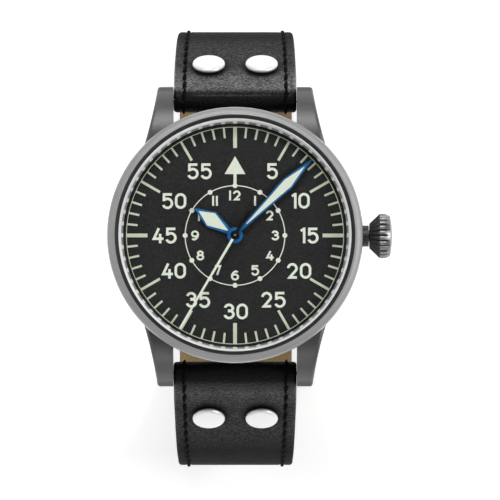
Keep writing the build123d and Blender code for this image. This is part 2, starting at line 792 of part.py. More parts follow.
with BuildPart() as ratchet_wheel:
    add(toothed_disc(barrel_centre, bridge_bottom - face_gap - ratchet_thickness, ratchet_thickness,
                     ratchet_radius, ratchet_teeth))
    add(disc(barrel_centre, bridge_bottom - cut_overrun, bridge_bottom, barrel_arbor_radius + press_gap),
        mode=Mode.SUBTRACT)
save("ratchet_wheel", ratchet_wheel)

# Balance wheel on its staff, under a bridge of its own
balance_bottom = bridge_top + 2 * face_gap
with BuildPart() as balance_wheel:
    with BuildSketch(Plane(origin=(balance_x, balance_y, balance_bottom))):
        Circle(balance_radius)
        Circle(balance_radius - balance_rim_width, mode=Mode.SUBTRACT)
        Rectangle(2 * (balance_radius - balance_rim_width / 2), balance_arm_width)
        Rectangle(balance_arm_width, 2 * (balance_radius - balance_rim_width / 2))
    extrude(amount=balance_rim_height)
    add(disc(balance_centre, bridge_top - bridge_thickness / 2, plate_bottom - face_gap,
             balance_staff_radius))
save("balance_wheel", balance_wheel)

# Balance bridge: an arm over the balance, on a foot beside it
balance_foot = (balance_foot_x, balance_foot_y)
with BuildPart() as balance_bridge:
    with BuildSketch(Plane.XY.offset(bridge_bottom)):
        with BuildLine():
            Line(balance_centre, balance_foot)
        trace(line_width=balance_bridge_width)
        with Locations(balance_centre, balance_foot):
            Circle(balance_bridge_width / 2)
    extrude(amount=bridge_thickness)
    add(disc(balance_foot, bridge_top, plate_bottom, pillar_radius))
    add(disc(balance_centre, bridge_bottom - face_gap, bridge_top + face_gap,
             balance_staff_radius + running_gap), mode=Mode.SUBTRACT)
save("balance_bridge", balance_bridge)

# Escape wheel and pallet fork, just under the main plate
escape_bottom = plate_bottom - 2 * face_gap - escape_thickness
with BuildPart() as escape_wheel:
    add(toothed_disc(escape_centre, escape_bottom, escape_thickness, escape_radius, escape_teeth))
    add(disc(escape_centre, bridge_top - bridge_thickness / 2, plate_bottom - face_gap, balance_staff_radius))
save("escape_wheel", escape_wheel)

with BuildPart() as pallet_fork:
    with BuildSketch(Plane.XY.offset(escape_bottom)):
        with BuildLine():
            Line(fork_centre, (balance_x + 2 * fork_arm_width + balance_staff_radius, balance_y))
        trace(line_width=fork_arm_width)
        with BuildLine():
            Line((fork_x, fork_y - fork_pallet_reach), (fork_x, fork_y + fork_pallet_reach))
        trace(line_width=fork_arm_width)
        with Locations(fork_centre):
            Circle(fork_arm_width)
    extrude(amount=fork_thickness)
    add(disc(fork_centre, escape_bottom - fork_thickness, plate_bottom - face_gap, balance_staff_radius))
save("pallet_fork", pallet_fork)

# Winding rotor: half a disc with a heavy rim, on a bearing screwed under the train bridge
rotor_web_top = bridge_bottom - 2 * face_gap - 2 * ratchet_thickness - face_gap
rotor_web_bottom = rotor_web_top - rotor_web_thickness
with BuildPart() as rotor:
    with BuildSketch(Plane.XY.offset(rotor_web_bottom)):
        Circle(rotor_radius)
        with Locations((0, rotor_hub_radius / 2)):
            Rectangle(2 * rotor_radius, rotor_radius, align=(Align.CENTER, Align.MIN), mode=Mode.SUBTRACT)
    extrude(amount=rotor_web_thickness)
    with BuildSketch(Plane.XY.offset(rotor_web_top + face_gap - rotor_rim_height)):
        Circle(rotor_radius)
        Circle(rotor_radius - rotor_rim_width, mode=Mode.SUBTRACT)
        Rectangle(2 * rotor_radius, rotor_radius, align=(Align.CENTER, Align.MIN), mode=Mode.SUBTRACT)
    extrude(amount=rotor_rim_height)
    add(disc((0, 0), rotor_web_bottom, rotor_web_top, rotor_hub_radius))
    add(disc((0, 0), rotor_web_bottom - cut_overrun, rotor_web_top + cut_overrun,
             bearing_radius + running_gap), mode=Mode.SUBTRACT)
save("rotor", rotor)

with BuildPart() as rotor_bearing:
    add(disc((0, 0), rotor_web_bottom - face_gap, bridge_bottom - 2 * running_gap, bearing_radius))
    add(disc((0, 0), rotor_web_bottom - face_gap - ratchet_thickness / 2, rotor_web_bottom - face_gap,
             bearing_head_radius))
    add(disc((0, 0), rotor_web_top + face_gap, bridge_bottom, bearing_head_radius))
    add(disc((0, 0), bridge_bottom - 2 * ratchet_thickness, bridge_bottom + face_gap,
             seconds_arbor_radius + running_gap), mode=Mode.SUBTRACT)
save("rotor_bearing", rotor_bearing)

# Movement holder ring, and the two clamps that hold the movement in it
with BuildPart() as movement_ring:
    add(disc((0, 0), thread_top, dial_bottom, cavity_radius - press_gap))
    add(disc((0, 0), thread_top, dial_bottom, movement_radius + press_gap), mode=Mode.SUBTRACT)
    with BuildSketch(Plane.YZ.offset(movement_radius - cut_overrun)):
        with Locations((0, stem_height)):
            Circle(tube_seat_radius)
    extrude(amount=cavity_radius - movement_radius + 2 * cut_overrun, mode=Mode.SUBTRACT)
save("movement_ring", movement_ring)

clamp_middle = clamp_inner_radius + clamp_length / 2
clamp_screw_y = movement_radius + clamp_length / 4
with BuildPart() as case_clamps:
    with BuildSketch(Plane.XY.offset(thread_top - clamp_thickness)):
        with Locations((0, clamp_middle), (0, -clamp_middle)):
            Rectangle(clamp_width, clamp_length)
    extrude(amount=clamp_thickness)
    for side in (1, -1):
        add(disc((0, side * clamp_screw_y), thread_top - 2 * clamp_thickness, thread_top,
                 clamp_shank_radius + running_gap), mode=Mode.SUBTRACT)
save("case_clamps", case_clamps)

with BuildPart() as clamp_screws:
    for side in (1, -1):
        add(disc((0, side * clamp_screw_y), thread_top - clamp_thickness - clamp_screw_height,
                 thread_top - clamp_thickness, clamp_screw_radius))
        add(disc((0, side * clamp_screw_y), thread_top - clamp_thickness, thread_top, clamp_shank_radius))
save("clamp_screws", clamp_screws)


def along_stem(points):
    """A solid turned about the stem's axis from (distance from the hand axis, radius) corners."""
    return turned([(x, radius) for x, radius in points], stem_axis, stem_plane).part


def stem_rod(start, end, radius):
    """A plain round rod or bore along the stem's axis."""
    return along_stem([(start, 0), (end, 0), (end, radius), (start, radius)])


# Crown tube: pressed into the case, with a collar outside
crown_post_radius = tube_bore_radius - running_gap
with BuildPart() as crown_tube:
    add(stem_rod(tube_inner_reach, tube_outer_reach, tube_seat_radius - press_gap))
    add(stem_rod(case_radius + press_gap, tube_outer_reach, tube_radius))
    add(stem_rod(tube_inner_reach - cut_overrun, tube_outer_reach + cut_overrun, tube_bore_radius),
        mode=Mode.SUBTRACT)
save("crown_tube", crown_tube)


def dome_middle(base_radius, rise):
    """The point halfway out on a spherical dome: its radius, and its height over the dome's base."""
    sphere_radius = (base_radius ** 2 + rise ** 2) / (2 * rise)
    return base_radius / 2, sqrt(sphere_radius ** 2 - base_radius ** 2 / 4) - sphere_radius + rise


def crown_section(distance, radius):
    """The lobed outline of the crown at a distance along the stem, each lobe an arc between two flutes."""
    depth = crown_flute_depth * radius / crown_widest_radius
    with BuildSketch(Plane.YZ.offset(distance)) as section:
        with BuildLine():
            for lobe in range(crown_flutes):
                turns = [2 * pi * (lobe + share) / crown_flutes for share in (0, 0.5, 1)]
                reaches = (radius - depth, radius, radius - depth)
                ThreePointArc(*[(reach * sin(turn), stem_height + reach * cos(turn))
                                for turn, reach in zip(turns, reaches)])
        make_face()
    return section.sketch


# Crown: a fluted cone and barrel with a round shoulder and a domed end, and a post that slides in the tube
gasket_start = crown_start - crown_post_length / 2
envelope = crown_widest_radius + face_gap
half_radius, half_height = dome_middle(crown_shoulder_radius, crown_dome_height)
with BuildPart() as crown:
    loft([crown_section(crown_start, crown_neck_radius), crown_section(crown_widest, crown_widest_radius),
          crown_section(crown_tip, crown_widest_radius)], ruled=True)
    with BuildSketch(stem_plane):
        with BuildLine():
            shoulder = ThreePointArc((crown_widest, envelope),
                                     ((crown_widest + crown_end) / 2,
                                      (envelope + crown_shoulder_radius) / 2 + crown_shoulder_bulge),
                                     (crown_end, crown_shoulder_radius))
            end = ThreePointArc(shoulder @ 1, (crown_end + half_height, half_radius), (crown_tip, 0))
            Polyline(end @ 1, (crown_start, 0), (crown_start, envelope), shoulder @ 0)
        make_face()
    revolve(axis=stem_axis, mode=Mode.INTERSECT)
    add(stem_rod(crown_start - crown_post_length, crown_start + crown_stem_depth / 2, crown_post_radius))
    add(along_stem([(gasket_start, crown_post_radius - crown_gasket_depth),
                    (gasket_start + crown_gasket_width, crown_post_radius - crown_gasket_depth),
                    (gasket_start + crown_gasket_width, tube_bore_radius),
                    (gasket_start, tube_bore_radius)]), mode=Mode.SUBTRACT)
    add(stem_rod(crown_start - crown_post_length - cut_overrun, crown_start + crown_stem_depth,
                 stem_radius + press_gap), mode=Mode.SUBTRACT)
save("crown", crown)

with BuildPart() as crown_gasket:
    add(along_stem([(gasket_start + press_gap, crown_post_radius - crown_gasket_depth + press_gap),
                    (gasket_start + crown_gasket_width - press_gap,
                     crown_post_radius - crown_gasket_depth + press_gap),
                    (gasket_start + crown_gasket_width - press_gap, crown_post_radius + press_gap),
                    (gasket_start + press_gap, crown_post_radius + press_gap)]))
save("crown_gasket", crown_gasket)

# Winding stem: a pivot, a square that drives the clutch pinion, and a round shank
with BuildPart() as winding_stem:
    add(stem_rod(stem_inner_reach, square_start, stem_square / 2))
    with BuildSketch(Plane.YZ.offset(square_start)):
        with Locations((0, stem_height)):
            Rectangle(stem_square, stem_square)
    extrude(amount=square_end - square_start)
    add(stem_rod(square_end, crown_start + crown_stem_depth, stem_radius))
save("winding_stem", winding_stem)

with BuildPart() as clutch_pinion:
    with BuildSketch(Plane.YZ.offset(clutch_start)):
        with Locations((0, stem_height)):
            Circle(clutch_radius - tooth_depth)
            with PolarLocations(clutch_radius - tooth_depth, clutch_teeth):
                Rectangle(2 * tooth_depth, tooth_depth)
            Rectangle(stem_square + 2 * running_gap, stem_square + 2 * running_gap, mode=Mode.SUBTRACT)
    extrude(amount=clutch_length)
save("clutch_pinion", clutch_pinion)


def across(start, end, y, z, radius):
    """A round rod or bore along X at a place beside the case."""
    with BuildPart() as rod:
        with BuildSketch(Plane.YZ.offset(start)):
            with Locations((y, z)):
                Circle(radius)
        extrude(amount=end - start)
    return rod.part


# Spring bars: a tube across the strap's end, and a sprung tip in each end of it
bar_half = lug_inner - bar_end_gap
tip_head_x = bar_half - tip_inner_reach
for hour, y in ((12, bar_y), (6, -bar_y)):
    with BuildPart() as spring_bar:
        add(across(-bar_half, bar_half, y, bar_z, bar_radius))
        for side in (1, -1):
            add(across(side * (bar_half - bar_bore_depth), side * (bar_half + cut_overrun), y, bar_z,
                       bar_bore_radius), mode=Mode.SUBTRACT)
    save(f"spring_bar_{hour}", spring_bar)
    for side, name in ((1, "right"), (-1, "left")):
        with BuildPart() as bar_tip:
            add(across(side * tip_head_x, side * (lug_inner + tip_reach_in_lug), y, bar_z, tip_radius))
            add(across(side * tip_head_x, side * (tip_head_x + tip_head_length), y, bar_z, tip_head_radius))
        save(f"bar_tip_{hour}_{name}", bar_tip)


def stations(side, moves, inset):
    """(from, middle, to) points of each move of a strap's route, inset from its outer face.

    side is 1 towards 12 o'clock and -1 towards 6. A move is (radius, amount): a straight of that
    length where the radius is zero, or an arc of that many degrees that turns towards the wrist.
    """
    y, z = strap_start_y, strap_start_z
    heading = -exit_slope
    found = []
    for radius, amount in moves:
        inward = (sin(heading), -cos(heading))
        begin = (y + inset * inward[0], z + inset * inward[1])
        middle = None
        if radius:
            centre = (y + radius * inward[0], z + radius * inward[1])
            reach = radius - inset
            half = heading - radians(amount) / 2
            heading = heading - radians(amount)
            middle = (centre[0] - reach * sin(half), centre[1] + reach * cos(half))
            y, z = centre[0] - radius * sin(heading), centre[1] + radius * cos(heading)
        else:
            y, z = y + amount * cos(heading), z + amount * sin(heading)
        inward = (sin(heading), -cos(heading))
        found.append((begin, middle, (y + inset * inward[0], z + inset * inward[1])))
    return [tuple(None if point is None else (side * point[0], point[1]) for point in move) for move in found]


def band(side, moves, near, far, width):
    """A strip of even thickness that follows a strap's route, between two insets from its outer face."""
    near_side = stations(side, moves, near)
    far_side = stations(side, moves, far)
    with BuildPart() as strip:
        with BuildSketch(Plane.YZ):
            with BuildLine():
                for begin, middle, end in near_side + far_side:
                    if middle is None:
                        Line(begin, end)
                    else:
                        ThreePointArc(begin, middle, end)
                Line(near_side[0][0], far_side[0][0])
                Line(near_side[-1][2], far_side[-1][2])
            make_face()
        extrude(amount=width / 2, both=True)
    return strip.part


def taper():
    """The strap's outline seen along it: full width at the lugs, narrower in the buckle."""
    with BuildPart() as outline:
        with BuildSketch(Plane.XZ):
            with BuildLine():
                half = strap_width / 2
                Polyline((half, case_top), (half, -taper_start_drop), (strap_half_end, -taper_end_drop),
                         (strap_half_end, base_z), (-strap_half_end, base_z),
                         (-strap_half_end, -taper_end_drop), (-half, -taper_start_drop), (-half, case_top),
                         close=True)
            make_face()
        extrude(amount=lower_side_y + strap_side_radius, both=True)
    return outline.part


side_angle = 90 - strap_exit_angle
upper_route = [(0, upper_straight), (strap_side_radius, side_angle), (strap_bend_radius, 90),
               (0, bend_end_y)]
tail_bend_end_y = lower_side_y - tail_bend_radius
wrap_radius = upper_side_z - tail_bottom
lower_route = [(0, lower_straight), (strap_side_radius, side_angle), (tail_bend_radius, 90),
               (0, tail_bend_end_y + bend_end_y), (wrap_radius, tail_wrap_angle)]
strap_taper = taper()


def route_end(moves):
    """Length of a route along its outer face."""
    return sum(amount if radius == 0 else radius * radians(amount) for radius, amount in moves)


def first_moves(moves, distance):
    """The moves of a route up to a distance along its outer face."""
    left = distance
    cut = []
    for radius, amount in moves:
        length = amount if radius == 0 else radius * radians(amount)
        if left > 0:
            cut.append((radius, amount * min(1, left / length)))
        left = left - length
    return cut


def on_route(side, moves, distance):
    """A plane on a strap's route, its X across the strap and its Z out of the outer face."""
    cut = first_moves(moves, distance)
    heading = -exit_slope - radians(sum(amount for radius, amount in cut if radius))
    y, z = stations(side, cut, 0)[-1][2]
    return Plane(origin=(0, y, z), x_dir=(1, 0, 0), z_dir=(0, -side * sin(heading), cos(heading)))


def rivet_places(side, moves, distance):
    """The two places of a pair of rivets on a strap's outer face."""
    plane = on_route(side, moves, distance)
    return [Plane(origin=plane.from_local_coords((x, 0, 0)), x_dir=plane.x_dir, z_dir=plane.z_dir)
            for x in (-rivet_spacing / 2, rivet_spacing / 2)]


def bored(piece, planes, radius, depth):
    """Cut the rivets' holes square through a strap's layers."""
    with BuildPart() as result:
        add(piece)
        for plane in planes:
            with BuildSketch(plane.offset(cut_overrun)):
                Circle(radius)
            extrude(amount=-depth - 2 * cut_overrun, mode=Mode.SUBTRACT)
    return result.part


def strap_end(side, moves, rivet_distance, leather, lining):
    """Leather and lining of one strap at its lug end: roll round the bar, folded flap and rivet holes."""
    planes = rivet_places(side, moves, rivet_distance)
    bar = (side * bar_y, bar_z)
    half = strap_width / 2
    with BuildPart() as outer:
        add(band(side, moves, 0, leather, strap_width))
        add(across(-half, half, *bar, roll_radius))
        add(band(side, first_moves(moves, flap_length), leather + lining, 2 * roll_radius, strap_width))
        add(across(-half, half, *bar, bar_radius + face_gap), mode=Mode.SUBTRACT)
    with BuildPart() as inner:
        add(band(side, moves, leather, leather + lining, strap_width))
        add(across(-half, half, *bar, roll_radius + press_gap), mode=Mode.SUBTRACT)
    holes = rivet_shank_radius + press_gap
    return [bored(layer.part, planes, holes, 2 * roll_radius) for layer in (outer, inner)]


def slot(width, front, back, top, bottom):
    """A round-ended slot through the flat of the strap, for the buckle's tongue."""
    with BuildPart() as cutter:
        with BuildSketch(Plane.XY.offset(bottom)):
            with Locations((0, (front + back) / 2)):
                SlotOverall(back - front, width, rotation=90)
        extrude(amount=top - bottom)
    return cutter.part


# Straps: leather outside, lining inside, cut to the taper
upper_outer, upper_inner = strap_end(1, upper_route, upper_rivet_distance, leather_thickness,
                                     lining_thickness)
lower_outer, lower_inner = strap_end(-1, lower_route, lower_rivet_distance, tail_leather_thickness,
                                     tail_lining_thickness)
tongue_half = tongue_width / 2 + tongue_slot_gap
buckle_bore = buckle_bar_radius + running_gap
tongue_slot = slot(2 * tongue_half, -tongue_slot_reach, tongue_slot_reach, upper_inside + cut_overrun,
                   upper_bottom - strap_layer_gap / 2)
with BuildPart() as upper_strap:
    add(upper_outer)
    add(across(-strap_width / 2, strap_width / 2, 0, buckle_bar_z, buckle_roll_radius))
    add(strap_taper, mode=Mode.INTERSECT)
    add(across(-strap_width / 2, strap_width / 2, 0, buckle_bar_z, buckle_bore), mode=Mode.SUBTRACT)
    add(tongue_slot, mode=Mode.SUBTRACT)
save("upper_strap", upper_strap)

with BuildPart() as upper_strap_lining:
    add(upper_inner)
    add(strap_taper, mode=Mode.INTERSECT)
    add(across(-strap_width / 2, strap_width / 2, 0, buckle_bar_z, buckle_roll_radius + press_gap),
        mode=Mode.SUBTRACT)
    add(tongue_slot, mode=Mode.SUBTRACT)
save("upper_strap_lining", upper_strap_lining)

tail_slot = slot(tongue_hole_width, -tongue_hole_front, tongue_hole_back,
                 upper_bottom - strap_layer_gap / 2, tail_bottom - cut_overrun)
tail_end = route_end(lower_route)
tail_plane = on_route(-1, lower_route, tail_end)


def tail_corners():
    """What is cut from the tail's end to leave a rounded point."""
    with BuildPart() as cutter:
        with BuildSketch(tail_plane):
            with Locations((0, 0)):
                Rectangle(strap_width, 2 * tail_point_length)
            with BuildLine():
                point = ThreePointArc((-strap_half_end, tail_point_length), (0, 0),
                                      (strap_half_end, tail_point_length))
                Line(point @ 0, point @ 1)
            make_face(mode=Mode.SUBTRACT)
        extrude(amount=2 * tail_thickness, both=True)
    return cutter.part


for name, layer in (("lower_strap", lower_outer), ("lower_strap_lining", lower_inner)):
    with BuildPart() as lower_layer:
        add(layer)
        add(strap_taper, mode=Mode.INTERSECT)
        add(tail_slot, mode=Mode.SUBTRACT)
        add(tail_corners(), mode=Mode.SUBTRACT)
    save(name, lower_layer)

# Stitching: a row of thread stitches down both edges of each strap
for name, side, moves, end in (("upper_stitching", 1, upper_route, tail_point_length),
                               ("lower_stitching", -1, lower_route, tail_point_length)):
    length = route_end(moves) - stitch_start - end
    count = int(length / stitch_pitch)
    with BuildPart() as stitching:
        for stitch in range(count):
            plane = on_route(side, moves, stitch_start + (stitch + 0.5) * length / count)
            drop = min(1, max(0, (-plane.origin.Z - taper_start_drop) / (taper_end_drop - taper_start_drop)))
            edge = strap_width / 2 + drop * (strap_half_end - strap_width / 2)
            with BuildSketch(plane):
                with Locations((edge - stitch_inset, 0), (stitch_inset - edge, 0)):
                    Rectangle(stitch_width, stitch_length)
            extrude(amount=stitch_height)
    save(name, stitching)

# Rivets: a polished dome outside, a shank through the strap and a flat cap inside
cap_top = -2 * roll_radius - running_gap
half_radius, half_height = dome_middle(rivet_head_radius, rivet_head_height)
for name, side, moves, distance in (("upper_rivets", 1, upper_route, upper_rivet_distance),
                                    ("lower_rivets", -1, lower_route, lower_rivet_distance)):
    with BuildPart() as rivets:
        for plane in rivet_places(side, moves, distance):
            with BuildSketch(Plane(origin=plane.origin, x_dir=plane.x_dir, z_dir=plane.y_dir * -1)):
                with BuildLine():
                    top = ThreePointArc((rivet_head_radius, 0), (half_radius, half_height),
                                        (0, rivet_head_height))
                    Polyline(top @ 1, (0, cap_top - rivet_cap_height),
                             (rivet_cap_radius, cap_top - rivet_cap_height), (rivet_cap_radius, cap_top),
                             (rivet_shank_radius, cap_top), (rivet_shank_radius, 0), top @ 0)
                make_face()
            revolve(axis=Axis(plane.origin, plane.z_dir))
    save(name, rivets)

# Buckle bar: through the rolled end of the 12 o'clock strap
with BuildPart() as buckle_bar:
    add(across(-buckle_outer + soft_gap, buckle_outer - soft_gap, 0, buckle_bar_z, buckle_bar_radius))
save("buckle_bar", buckle_bar)

# Buckle frame: two arms that turn on the bar, and a front bar with a notch for the tongue
with BuildPart() as buckle_frame:
    for side in (1, -1):
        with BuildSketch(Plane.YZ.offset(side * buckle_inner)):
            with BuildLine(mode=Mode.PRIVATE) as rims:
                CenterArc((0, buckle_bar_z), buckle_eye_radius, 0, 360)
                CenterArc((-buckle_reach, front_bar_z), buckle_front_radius, 0, 360)
            make_hull(rims.edges())
        extrude(amount=side * buckle_arm_width)
    add(across(-buckle_inner, buckle_inner, -buckle_reach, front_bar_z, buckle_front_radius))
    add(across(-buckle_outer, buckle_outer, 0, buckle_bar_z, buckle_bar_radius + running_gap),
        mode=Mode.SUBTRACT)
    with BuildSketch(Plane.XY.offset(base_z)):
        with Locations((0, -buckle_reach)):
            Rectangle(2 * tongue_half, 2 * buckle_front_radius)
    extrude(amount=tongue_thickness + 2 * face_gap, mode=Mode.SUBTRACT)
save("buckle_frame", buckle_frame)

# Buckle tongue: an eye on the bar, a steep neck through the tail's hole, and a tip in the notch
tongue_level = base_z + face_gap + tongue_thickness / 2
with BuildPart() as buckle_tongue:
    with BuildSketch(Plane.YZ):
        with Locations((0, buckle_bar_z)):
            Circle(tongue_eye_radius)
        with BuildLine():
            neck_start = (-tongue_thickness / 2, buckle_bar_z - tongue_eye_radius / 2)
            FilletPolyline(neck_start, (-tongue_hole_front + tongue_thickness / 2, tongue_level),
                           (-buckle_reach - buckle_front_radius - tongue_overhang / 2, tongue_level),
                           radius=tongue_thickness)
        trace(line_width=tongue_thickness)
        with Locations((0, buckle_bar_z)):
            Circle(buckle_bar_radius + running_gap, mode=Mode.SUBTRACT)
    extrude(amount=tongue_width / 2, both=True)
save("buckle_tongue", buckle_tongue)


def keeper(start, width):
    """A leather loop round both layers of the strap, its outer face level with the buckle."""
    inside_top = upper_inside + soft_gap
    inside_bottom = tail_bottom - soft_gap
    inside_half = strap_half_end + soft_gap
    with BuildPart() as loop:
        with BuildSketch(Plane.XZ.offset(-start)):
            with Locations((0, (inside_top + keeper_wall + base_z) / 2)):
                RectangleRounded(2 * (inside_half + keeper_wall), inside_top + keeper_wall - base_z,
                                 keeper_wall)
            with Locations((0, (inside_top + inside_bottom) / 2)):
                Rectangle(2 * inside_half, inside_top - inside_bottom, mode=Mode.SUBTRACT)
        extrude(amount=-width)
    return loop


save("fixed_keeper", keeper(fixed_keeper_start, fixed_keeper_width))
save("free_keeper", keeper(free_keeper_start, free_keeper_width))
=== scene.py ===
from collections import namedtuple
from math import cos, pi, radians, sin, sqrt

import bmesh
import bpy
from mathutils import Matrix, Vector


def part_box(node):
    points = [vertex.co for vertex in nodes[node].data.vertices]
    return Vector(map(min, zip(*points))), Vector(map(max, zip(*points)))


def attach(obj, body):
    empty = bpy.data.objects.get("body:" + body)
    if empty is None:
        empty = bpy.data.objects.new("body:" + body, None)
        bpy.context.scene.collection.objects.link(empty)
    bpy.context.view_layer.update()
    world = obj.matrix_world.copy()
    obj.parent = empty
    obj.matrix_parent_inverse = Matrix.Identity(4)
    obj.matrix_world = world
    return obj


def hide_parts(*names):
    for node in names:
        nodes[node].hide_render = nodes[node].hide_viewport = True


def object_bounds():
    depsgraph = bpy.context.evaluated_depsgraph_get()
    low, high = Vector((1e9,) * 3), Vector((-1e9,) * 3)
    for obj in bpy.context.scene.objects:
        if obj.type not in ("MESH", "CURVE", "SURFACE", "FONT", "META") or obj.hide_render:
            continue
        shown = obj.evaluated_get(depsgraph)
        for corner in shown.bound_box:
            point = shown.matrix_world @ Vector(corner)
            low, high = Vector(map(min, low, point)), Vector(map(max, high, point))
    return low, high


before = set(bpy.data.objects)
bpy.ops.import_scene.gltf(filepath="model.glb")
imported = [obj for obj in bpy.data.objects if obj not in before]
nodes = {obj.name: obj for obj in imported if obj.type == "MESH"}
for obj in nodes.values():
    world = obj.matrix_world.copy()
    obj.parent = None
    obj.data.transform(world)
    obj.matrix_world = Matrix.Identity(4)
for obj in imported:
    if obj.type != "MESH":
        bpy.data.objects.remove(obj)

cad_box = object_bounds()
mm = 0.001

# Sizes repeated from the part's source, in millimetres and radians.
# Origin: centre of the case back's outer face. +Z out of the dial, +Y to 12, +X to the crown.
BAR_Y = 22.6
BAR_Z = 1.5
ROLL_RADIUS = 2.0
ROLL_LEATHER = 1.2
LEATHER = 1.5
LINING = 1.0
TAIL_LEATHER = 1.4
TAIL_LINING = 0.9
STRAP_HALF = 10.15
STRAP_HALF_END = 9.7
TAPER_START_Z = -2.0
TAPER_END_Z = -26.0
EXIT_ANGLE = radians(58.5)
UPPER_STRAIGHT = 9.5
LOWER_STRAIGHT = 12.0
SIDE_RADIUS = 47.0
UPPER_BEND = 18.4
LAYER_GAP = 0.2
TAIL_WRAP = radians(50.0)
TAIL_POINT = 5.0
FLAP_LENGTH = 11.5
BUCKLE_ROLL = 1.25
BUCKLE_ROLL_LEATHER = 0.5
TONGUE_SLOT_WIDTH = 2.4
TONGUE_SLOT_REACH = 2.1
TAIL_HOLE_WIDTH = 2.8
TAIL_HOLE_FRONT = 2.9
TAIL_HOLE_BACK = 1.4
KEEPER_WALL = 1.4
KEEPER_GAP = 0.3
KEEPER_BOTTOM = -53.163
SECONDS_ANGLE = radians(210.6)
STEM_HEIGHT = 4.9
RIVET_RADIUS = 2.7
RIVET_X = 4.4
RIVET_SHANK = 0.9
RIVET_CAP = 1.8
CAP_TOP = -4.05
CAP_HEIGHT = 0.5
UPPER_RIVET = 8.2
LOWER_RIVET = 9.85

# Sizes of the finer pieces, in millimetres and radians
RIVET_FACE = 2.2
RIVET_RIM = 0.5
RIVET_HEIGHT = 1.15
RIVET_DOME = 0.18
RIVET_RINGS = (0.35, 0.7, 0.9)
RIVET_RIM_END = -38
RIVET_RIM_STEPS = 8
RIVET_SEGMENTS = 48
STITCH_INSET = 1.75
STITCH_PITCH = 2.8
STITCH_LENGTH = 2.35
STITCH_THICKNESS = 0.6
STITCH_SLANT = radians(5)
SEAM_PITCH = 0.5
SEAM_ROLL_START = 1 / 3
UPPER_SEAM_INSET = 3.5
GROOVE_HALF = 0.55
GROOVE_DEPTH = 0.12
EDGE_CORNER = 0.55
EDGE_CORNER_SHARE = 0.45
EDGE_STEPS = 5
STATION_PITCH = 0.8
ROLL_STEPS = 24
ROLL_BLEND = 2.0
FLAP_START = 0.2
FLAP_CLEARANCE = 0.06
SKIVE_LENGTH = 0.8
SKIVE_SLOPE = 0.6
SKIVE_LEFT = 0.02
TIP_SKIVE = 0.5
TIP_HALF = 0.8
BUCKLE_ROLL_STEPS = 16
BUCKLE_CORNER = 0.22
BUCKLE_END_Y = 1.5
BUCKLE_END_THICKNESS = 0.35
BUCKLE_END_CORNER = 0.15
LINING_START = 2.2
LINING_MARGIN = 0.08
LINING_GAP = 0.01
LINING_CORNER = 0.25
LINING_TIP_HALF = 0.7
UPPER_LINING_INSET = 1.6
LOWER_LINING_INSET = 0.6
SLOT_STEPS = 12
KEEPER_INNER_CORNER = 0.25
KEEPER_CORNER_STEPS = 8
KEEPER_EDGE = 0.45
KEEPER_EDGE_STEPS = 4
SMOOTH_ANGLE = radians(35)
MERGE_DISTANCE = 0.5e-6

# Spans over which a finish or a painted light and shade changes, in millimetres: radii and heights on the watch,
# reaches from its middle
BEVEL_END = (19.69, 19.73)
# The bezel's polished edge lines, painted lighter as a highlight
INNER_HIGHLIGHT_RADIUS = 19.82
INNER_HIGHLIGHT_FADE = (0.04, 0.1)
OUTER_HIGHLIGHT = (20.82, 20.94)
BEZEL_TOP = (19.7, 20.9)
# Heights on the flange: where its painted shade ends, and where its painted reflections end
FLANGE_SHADE_TOP = (8.1, 8.2)
REFLECTION_TOP = (8.72, 8.76)
TRACK_START = (13.8, 14.2)
NEEDLE_START = (0.74, 0.78)
HUB_PIN = (0.12, 0.18)
CROWN_CONE = (22.1, 23.8)
CROWN_CREST = (2.04, 3.69)
CROWN_FLUTE = (-0.36, -0.06)
CROWN_BARREL = (23.6, 23.9)
CROWN_SHOULDER = (24.3, 25.1)
RIVET_PRESS = (RIVET_RADIUS + 0.15, RIVET_RADIUS + 1.3)
RIVET_FOOT = (0.1, 0.6)
DULL_REACH = (26.2, 34.0)
WAX_START = {"lower": 24.2, "upper": 23.1}
WAX_RISE = (0.0, 1.6)
WAX_FADE = (25.8, 30.0)
HANDLED_REACH = (27.0, 29.5)
HANDLED_HEIGHT = (-18.0, -7.0)
WORN_HEIGHT = (-38.0, -26.0)

# Values of a finish, and of the flange's painted reflection
REFLECTION_EDGE = (0.35, 0.6)
REFLECTIONS_PER_RADIAN = 60.0
FAR_ROUGHNESS = 0.85
LOWER_WAX = 0.45
HANDLED_GLOSS = 0.3
LEAST_GLOSS = 0.02
GLOSSY_GRAIN = (0.40, 0.62)
GRAIN_GLOSS = (0.25, 1.6)

# The strap's routes, from the sizes above. A move is (radius, length), straight where the radius is 0.
START_Y = BAR_Y + ROLL_RADIUS * sin(EXIT_ANGLE)
START_Z = BAR_Z + ROLL_RADIUS * cos(EXIT_ANGLE)
SIDE_ARC = (SIDE_RADIUS, SIDE_RADIUS * (pi / 2 - EXIT_ANGLE))


def side_place(straight):
    """Where a route turns vertical, after its straight and its gentle side arc."""
    y = START_Y + straight * cos(EXIT_ANGLE) + SIDE_RADIUS * (1 - sin(EXIT_ANGLE))
    z = START_Z - straight * sin(EXIT_ANGLE) - SIDE_RADIUS * cos(EXIT_ANGLE)
    return y, z


UPPER_SIDE_Y, UPPER_SIDE_Z = side_place(UPPER_STRAIGHT)
LOWER_SIDE_Y, LOWER_SIDE_Z = side_place(LOWER_STRAIGHT)
UPPER_BOTTOM = UPPER_SIDE_Z - UPPER_BEND
TAIL_BOTTOM = UPPER_BOTTOM - LAYER_GAP - TAIL_LEATHER - TAIL_LINING
TAIL_BEND = LOWER_SIDE_Z - TAIL_BOTTOM
UPPER_FLAT = UPPER_SIDE_Y - UPPER_BEND
TAIL_FLAT = LOWER_SIDE_Y - TAIL_BEND + UPPER_FLAT
WRAP_RADIUS = UPPER_SIDE_Z - TAIL_BOTTOM
BETWEEN_LAYERS = UPPER_BOTTOM - LAYER_GAP / 2

